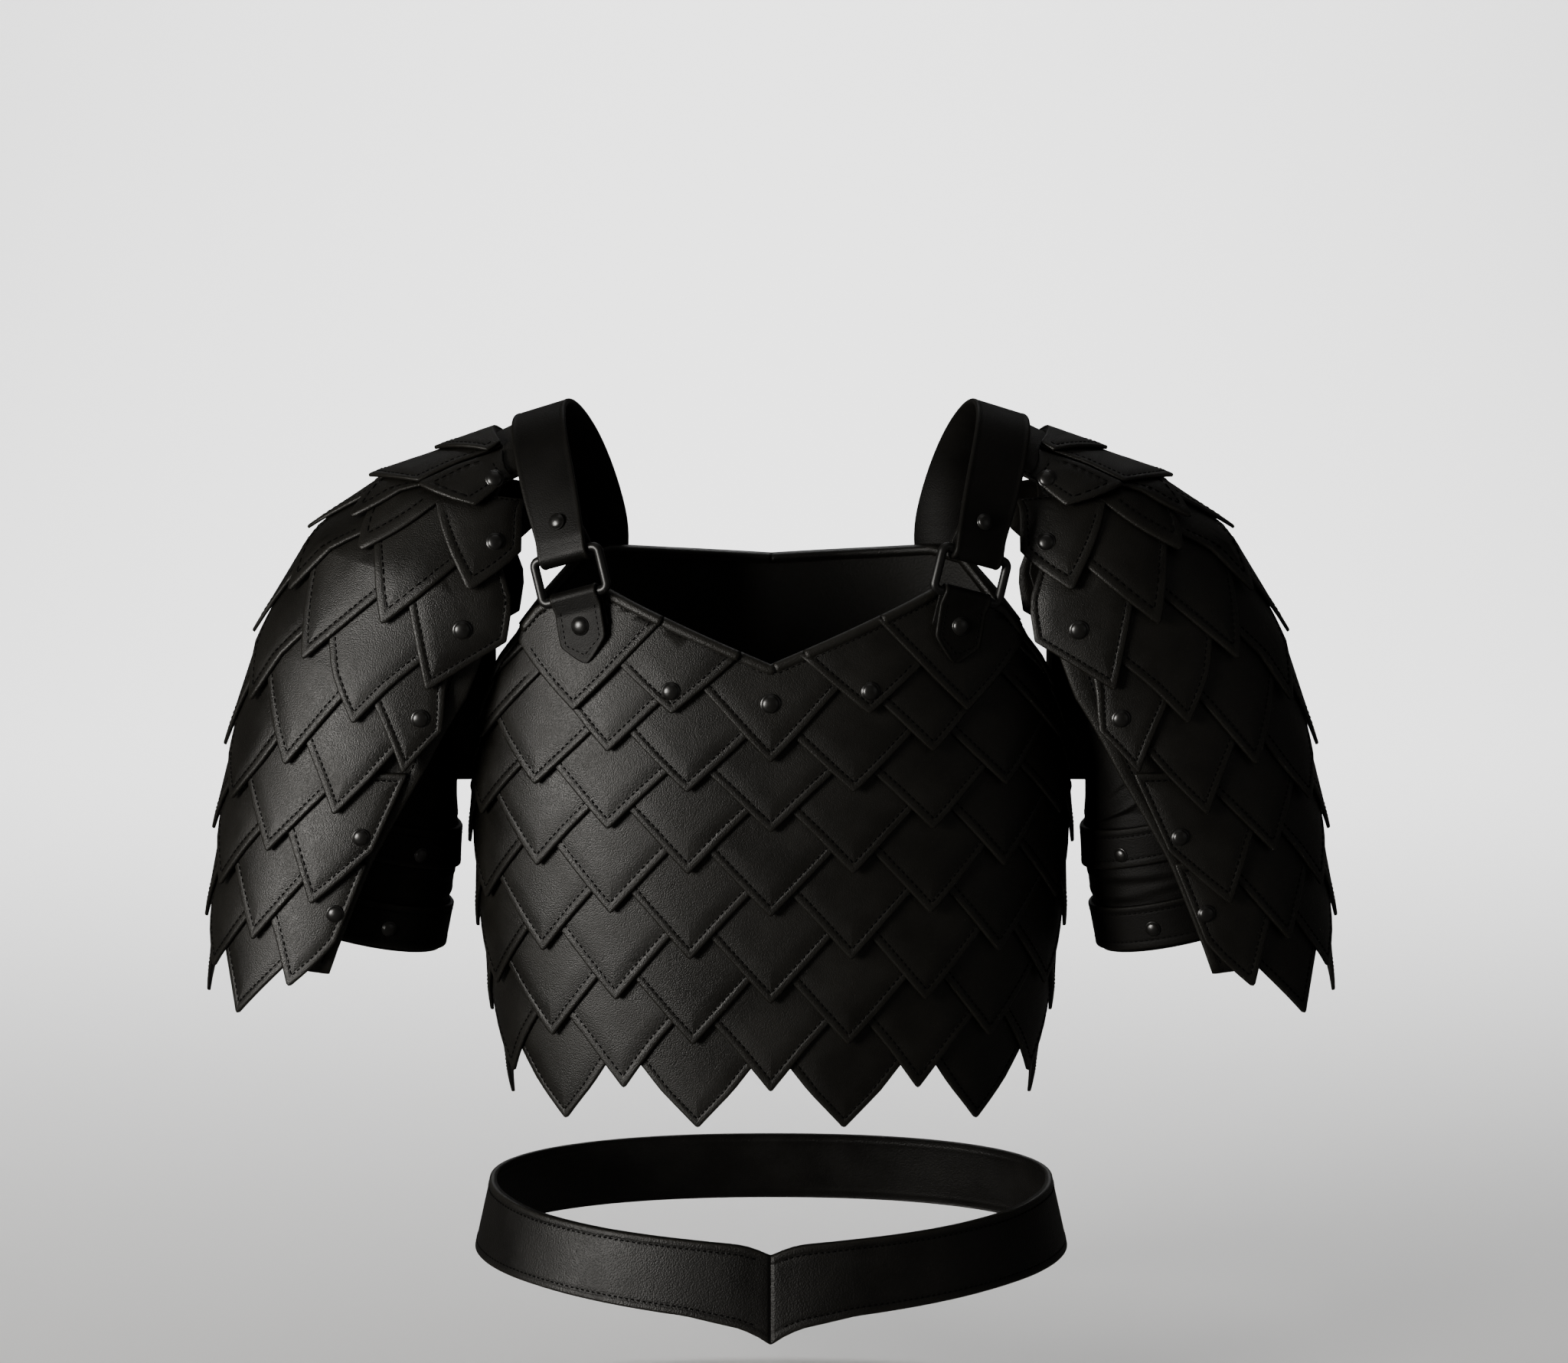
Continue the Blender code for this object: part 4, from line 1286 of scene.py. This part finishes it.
def tube(place, turns, sections, heights, thick, wear_and_highlight):
    """A closed tube with thickness. heights is one row of outer heights for each section."""
    at = np.array([(t, s) for s in sections for t in turns])
    outer = place(at, np.concatenate(heights))
    inner = place(at, np.concatenate(heights) * 0.6 - thick)
    wide, tall = len(turns), len(sections)
    size = wide * tall
    faces = []
    for r in range(tall - 1):
        for c in range(wide):
            after = (c + 1) % wide
            quad = (r * wide + c, r * wide + after, (r + 1) * wide + after, (r + 1) * wide + c)
            faces.append(quad)
            faces.append(tuple(size + i for i in reversed(quad)))
    for c in range(wide):
        after = (c + 1) % wide
        low = (tall - 1) * wide
        faces.append((c, size + c, size + after, after))
        faces.append((low + c, low + after, size + low + after, size + low + c))
    return np.concatenate([outer, inner]), faces, [*np.repeat(wear_and_highlight, wide), *([0.0] * size)]


def across_band(deep, edge, count):
    """Distances across a band where it needs points, with each one's height and edge lightening, which is
    partly wear and partly painted highlight.
    """
    rim = [d for d, _, _ in RIM]
    distances = rim + list(np.linspace(edge, deep - edge, count)) + [deep - d for d in reversed(rim)]
    return distances, *rim_height(np.minimum(distances, deep - np.array(distances)))


TURNS = np.linspace(0, 2 * math.pi, 96, endpoint=False)
BAND_HEIGHT = 0.0032
BAND_STITCH_LINE = 0.0050
# Bands: name, first and last section, length in metres along the arm for one section
BANDS = (("upper_band", 5.02, 5.82, 0.0300), ("cuff_band", 6.85, 7.92, 0.0250))
for side, label in SIDES:
    place = sleeve_surface(side)
    sections = np.linspace(0, 8, 100)
    rows = [crease_height(np.stack([TURNS, np.full(96, s)], axis=1)) for s in sections]
    part = tube(place, TURNS, sections, rows, 0.0013, np.zeros(100))
    sleeve = mesh_object(f"sleeve_leather_{label}", [part], soft_leather)
    # The seam slants forward down the front of the sleeve
    seam = [np.array([math.radians(262 + 22 * (i / 34)), 3.2 + 1.75 * i / 34]) for i in range(35)]
    seam_ends = [np.array([a + (b - a) * 0.14, a + (b - a) * 0.86]) for a, b in zip(seam, seam[1:])]
    sewn = stitches(place, lambda at: crease_height(at) + 0.0002, seam_ends, 0.0003)
    sleeve_thread = mesh_object(f"sleeve_stitches_{label}", [sewn], thread)
    area = flat_area(sleeve)
    declare(
        sleeve, [sleeve_thread], "soft_leather", [f"sleeve_{label}"],
        flat=(0.40, area / 0.40 / 0.8), held="draped", rests_on=["bodice_wall_leather"], area=area,
    )
    for name, first, last, metres in BANDS:
        deep = (last - first) * metres
        distances, height, wear_and_highlight = across_band(deep, 0.0066, 6)
        sections = [first + d / metres for d in distances]
        rows = [np.full(96, BAND_HEIGHT + h * 0.8) for h in height]
        points, faces, painted = tube(place, TURNS, sections, rows, 0.0, wear_and_highlight)
        half = len(points) // 2
        at = np.array([(t, s) for s in sections for t in TURNS])
        points[half:] = place(at, np.full(half, 0.0006))
        made = mesh_object(f"{name}_leather_{label}", [(points, faces, painted)], soft_leather)
        ends = []
        for s in (first + BAND_STITCH_LINE / metres, last - BAND_STITCH_LINE / metres):
            run = place(np.stack([TURNS, np.full(96, s)], axis=1), np.full(96, BAND_HEIGHT))
            total = np.linalg.norm(np.roll(run, -1, axis=0) - run, axis=1).sum()
            number = int(total / STITCH_PITCH)
            for j in range(number):
                pair = [2 * math.pi * (j + t) / number for t in (0.14, 0.86)]
                ends.append(np.array([(pair[0], s), (pair[1], s)]))
        sewn = stitches(place, lambda at: np.full(len(at), BAND_HEIGHT), ends, 0.00034)
        band_thread = mesh_object(f"{name}_stitches_{label}", [sewn], thread)
        declare(
            made, [band_thread], "soft_leather", [f"{name}_{label}"],
            flat=(0.34, deep), held="stretched", rests_on=[f"sleeve_leather_{label}"],
        )

# Rivets
# Black domed rivets fasten the tabs, the straps, the scales at the shoulder's front edge and
# the sleeve bands. Each one is pressed into the leather that it holds.

# On the shoulder pieces: column, level, row, radius
SHOULDER_RIVETS = (
    (-3.86, -0.93, 1, 0.0050), (-4.37, 1.78, 3, 0.0050), (-4.14, 3.70, 5, 0.0052),
    (-4.04, 5.66, 7, 0.0050), (-3.62, 8.42, 10, 0.0048), (-3.54, 10.15, 12, 0.0048),
)
# On the bodice: column, level, name of the neck scale or row, radius
BODICE_RIVETS = ((0.0, 0.72, 2, 0.0054), (1.22, 0.42, "inner", 0.0050))


def surface_rivet(place, at, offset, size):
    """A rivet on a surface, pointing along its normal."""
    here, above = (place(np.array([at]), np.array([offset + up]))[0] for up in (0, 0.001))
    rivets.append(rivet(here, unit(above - here), np.array([0.0, 0.3, 1.0]), size))


rivets = []
for side, label in SIDES:
    spot, half, way = strap_rivet_at
    flip = np.array((side, 1, 1))
    rivets.append(rivet((spot + way * STRAP_THICK / 2) * flip, way * flip, half * flip, 0.0044))
    rivets.append(both_sides(tab_rivet, side))
    surface = pauldron(side)
    for c, u, row, size in SHOULDER_RIVETS:
        surface_rivet(surface, (c, u), row_lift(row)(np.array([[c, u]]))[0], size)
    place = sleeve_surface(side)
    for turn, s in ((232.6, 5.545), (247.7, 7.459)):
        surface_rivet(place, (math.radians(turn), s), 0.0033, 0.0041)
for c, u, layer, size in BODICE_RIVETS:
    for side in (1, -1):
        if c == 0 and side < 0:
            continue
        lift = row_lift(layer) if layer == 2 else neck_lift(-0.0010)
        surface_rivet(torso, (side * c, u), lift(np.array([[c, u]]))[0], size)
for side in (1, -1):
    for z in (-0.096, -0.119):
        surface_rivet(torso_at, (side * 7.55, z), 0.0081 + STRAP_THICK / 2, 0.0044)
rivet_piece = mesh_object("rivets", rivets, rivet_metal)
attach(rivet_piece, "root")

# Belt
# The hip belt is two lengths of 3.6 mm leather joined by a seam at the front, where it drops
# to a point. Both long edges are bound, with a line of stitches inside each binding.

# Distance from the centre, top, bottom
BELT = np.array(
    (
        (0.000, -0.4904, -0.5414), (0.010, -0.4860, -0.5350), (0.020, -0.4839, -0.5313),
        (0.050, -0.4817, -0.5250), (0.100, -0.4785, -0.5203), (0.140, -0.4755, -0.5165),
        (0.175, -0.4710, -0.5139),
    )
)
BELT_THICK = 0.0036
BELT_DEEP = 0.0435


def belt_flat(turn, share):
    sine, cosine = np.sin(turn), np.cos(turn)
    half_width = 0.171 + 0.0095 * share
    x = half_width * np.copysign(np.abs(sine) ** (2 / 2.2), sine)
    depth = np.where(cosine > 0, 0.124, 0.110) + 0.0095 * share
    y = -depth * np.copysign(np.abs(cosine) ** (2 / 2.2), cosine)
    top = np.where(cosine > 0, np.interp(np.abs(x), BELT[:, 0], BELT[:, 1]), BELT[-1, 1])
    bottom = np.where(cosine > 0, np.interp(np.abs(x), BELT[:, 0], BELT[:, 2]), BELT[-1, 2])
    return np.stack([x, y, top + (bottom - top) * share], axis=1)


def belt_place(at, offset):
    across = belt_flat(at[:, 0] + 0.02, at[:, 1]) - belt_flat(at[:, 0] - 0.02, at[:, 1])
    down = belt_flat(at[:, 0], at[:, 1] + 0.05) - belt_flat(at[:, 0], at[:, 1] - 0.05)
    normal = -np.cross(across, down)
    normal[:, 2] *= 0.3
    normal /= np.linalg.norm(normal, axis=1)[:, None]
    return belt_flat(at[:, 0], at[:, 1]) + normal * offset[:, None]


evenly = np.linspace(0, 2 * math.pi, 192, endpoint=False)
belt_turns = evenly - 0.055 * np.sin(2 * evenly) * (np.cos(evenly) > 0)
seam_turns = np.array([-0.0095, -0.0060, -0.0030, -0.0012, 0.0012, 0.0030, 0.0060, 0.0095])
belt_turns = np.sort(np.concatenate([belt_turns[1:], (seam_turns + 2 * math.pi) % (2 * math.pi)]))
distances, height, wear_and_highlight = across_band(BELT_DEEP, 0.008, 6)
from_seam = np.abs((belt_turns + math.pi) % (2 * math.pi) - math.pi) * 0.13
groove = -0.0007 * np.exp(-((from_seam / 0.00035) ** 2))
groove += 0.0004 * np.exp(-(((from_seam - 0.0012) / 0.0007) ** 2))
rows = [h + groove for h in height]
part = tube(belt_place, belt_turns, [d / BELT_DEEP for d in distances], rows, BELT_THICK, wear_and_highlight)
belt_leather = leather("belt_leather", (0.0040, 0.0036, 0.0029), LEATHER_RUBBED_AND_HIGHLIGHT, 0.46, 1000, 0.0003, 0.34)
belt = mesh_object("belt_leather", [part], belt_leather)
ends = []
for share in (0.0050 / BELT_DEEP, 1 - 0.0050 / BELT_DEEP):
    on_belt = lambda v: np.stack([v, np.full(len(v), share)], axis=1)
    ends += stitch_run(belt_place, np.linspace(0.03, 2 * math.pi - 0.03, 600), on_belt)
belt_thread = mesh_object("belt_stitches", [stitches(belt_place, lambda at: np.zeros(len(at)), ends)], thread)
declare(belt, [belt_thread], "leather", ["belt"], flat=(0.98, BELT_DEEP), held="stretched")

bpy.data.objects.remove(cutter)

# Floor, lights and camera
# A pale floor that curves up behind, one large soft light from the left, a much weaker one
# from the right, and the photograph's camera, a little above the chest and 3 m away.

floor_line = [(-3.6, -0.60), (2.9, -0.60)]
for i in range(1, 13):
    turn = math.pi / 2 * i / 12
    floor_line.append((2.9 + 0.8 * math.sin(turn), -0.60 + 0.8 * (1 - math.cos(turn))))
floor_line.append((3.7, 4.0))
floor_points = [(x, y, z) for y, z in floor_line for x in (-4.0, 4.0)]
floor_faces = [(2 * i, 2 * i + 1, 2 * i + 3, 2 * i + 2) for i in range(len(floor_line) - 1)]
paper, _, _ = new_material("pale_paper", Base_Color=(0.80, 0.80, 0.80, 1), Roughness=0.9)
floor = mesh_object("floor", [(floor_points, floor_faces, [0.0] * len(floor_points))], paper)
# The floor is left out of what the leather reflects, so the pale paper does not show in it.
floor.visible_glossy = False

# Lights: name, place, what it looks at, size, watts, colour
LIGHTS = (
    ("key", (-2.25, -1.85, 0.18), (0.0, 0.0, -0.2), 1.0, 84, (1.0, 0.97, 0.92)),
    ("fill", (2.4, -1.8, 0.5), (0.0, 0.0, -0.2), 1.6, 1.2, (1.0, 0.98, 0.95)),
    ("top", (0.0, -0.2, 2.2), (0.0, 0.0, -0.2), 1.6, 2.5, (1.0, 0.98, 0.95)),
    ("backdrop", (0.0, 2.2, 1.9), (0.0, 3.7, 0.1), 1.6, 230, (1.0, 1.0, 1.0)),
)
for name, place, aim, size, watts, colour in LIGHTS:
    light = bpy.data.lights.new(name, "AREA")
    light.energy = watts
    light.size = size
    light.color = colour
    lamp = bpy.data.objects.new(name, light)
    lamp.location = place
    lamp.rotation_euler = (Vector(aim) - Vector(place)).to_track_quat("-Z", "Y").to_euler()
    bpy.context.scene.collection.objects.link(lamp)
world = bpy.data.worlds.new("studio")
world.use_nodes = True
background = world.node_tree.nodes["Background"]
background.inputs["Color"].default_value = (1.0, 0.97, 0.92, 1)
background.inputs["Strength"].default_value = 0.05
bpy.context.scene.world = world

lens = bpy.data.cameras.new("camera")
lens.lens = 114.6
lens.sensor_width = 36
camera = bpy.data.objects.new("camera", lens)
target = Vector((0.0078, 0.0, -0.168))
tilt = math.radians(8)
camera.location = target + 3.0 * Vector((0, -math.cos(tilt), math.sin(tilt)))
camera.rotation_euler = (target - camera.location).to_track_quat("-Z", "Y").to_euler()
bpy.context.scene.collection.objects.link(camera)
bpy.context.scene.camera = camera
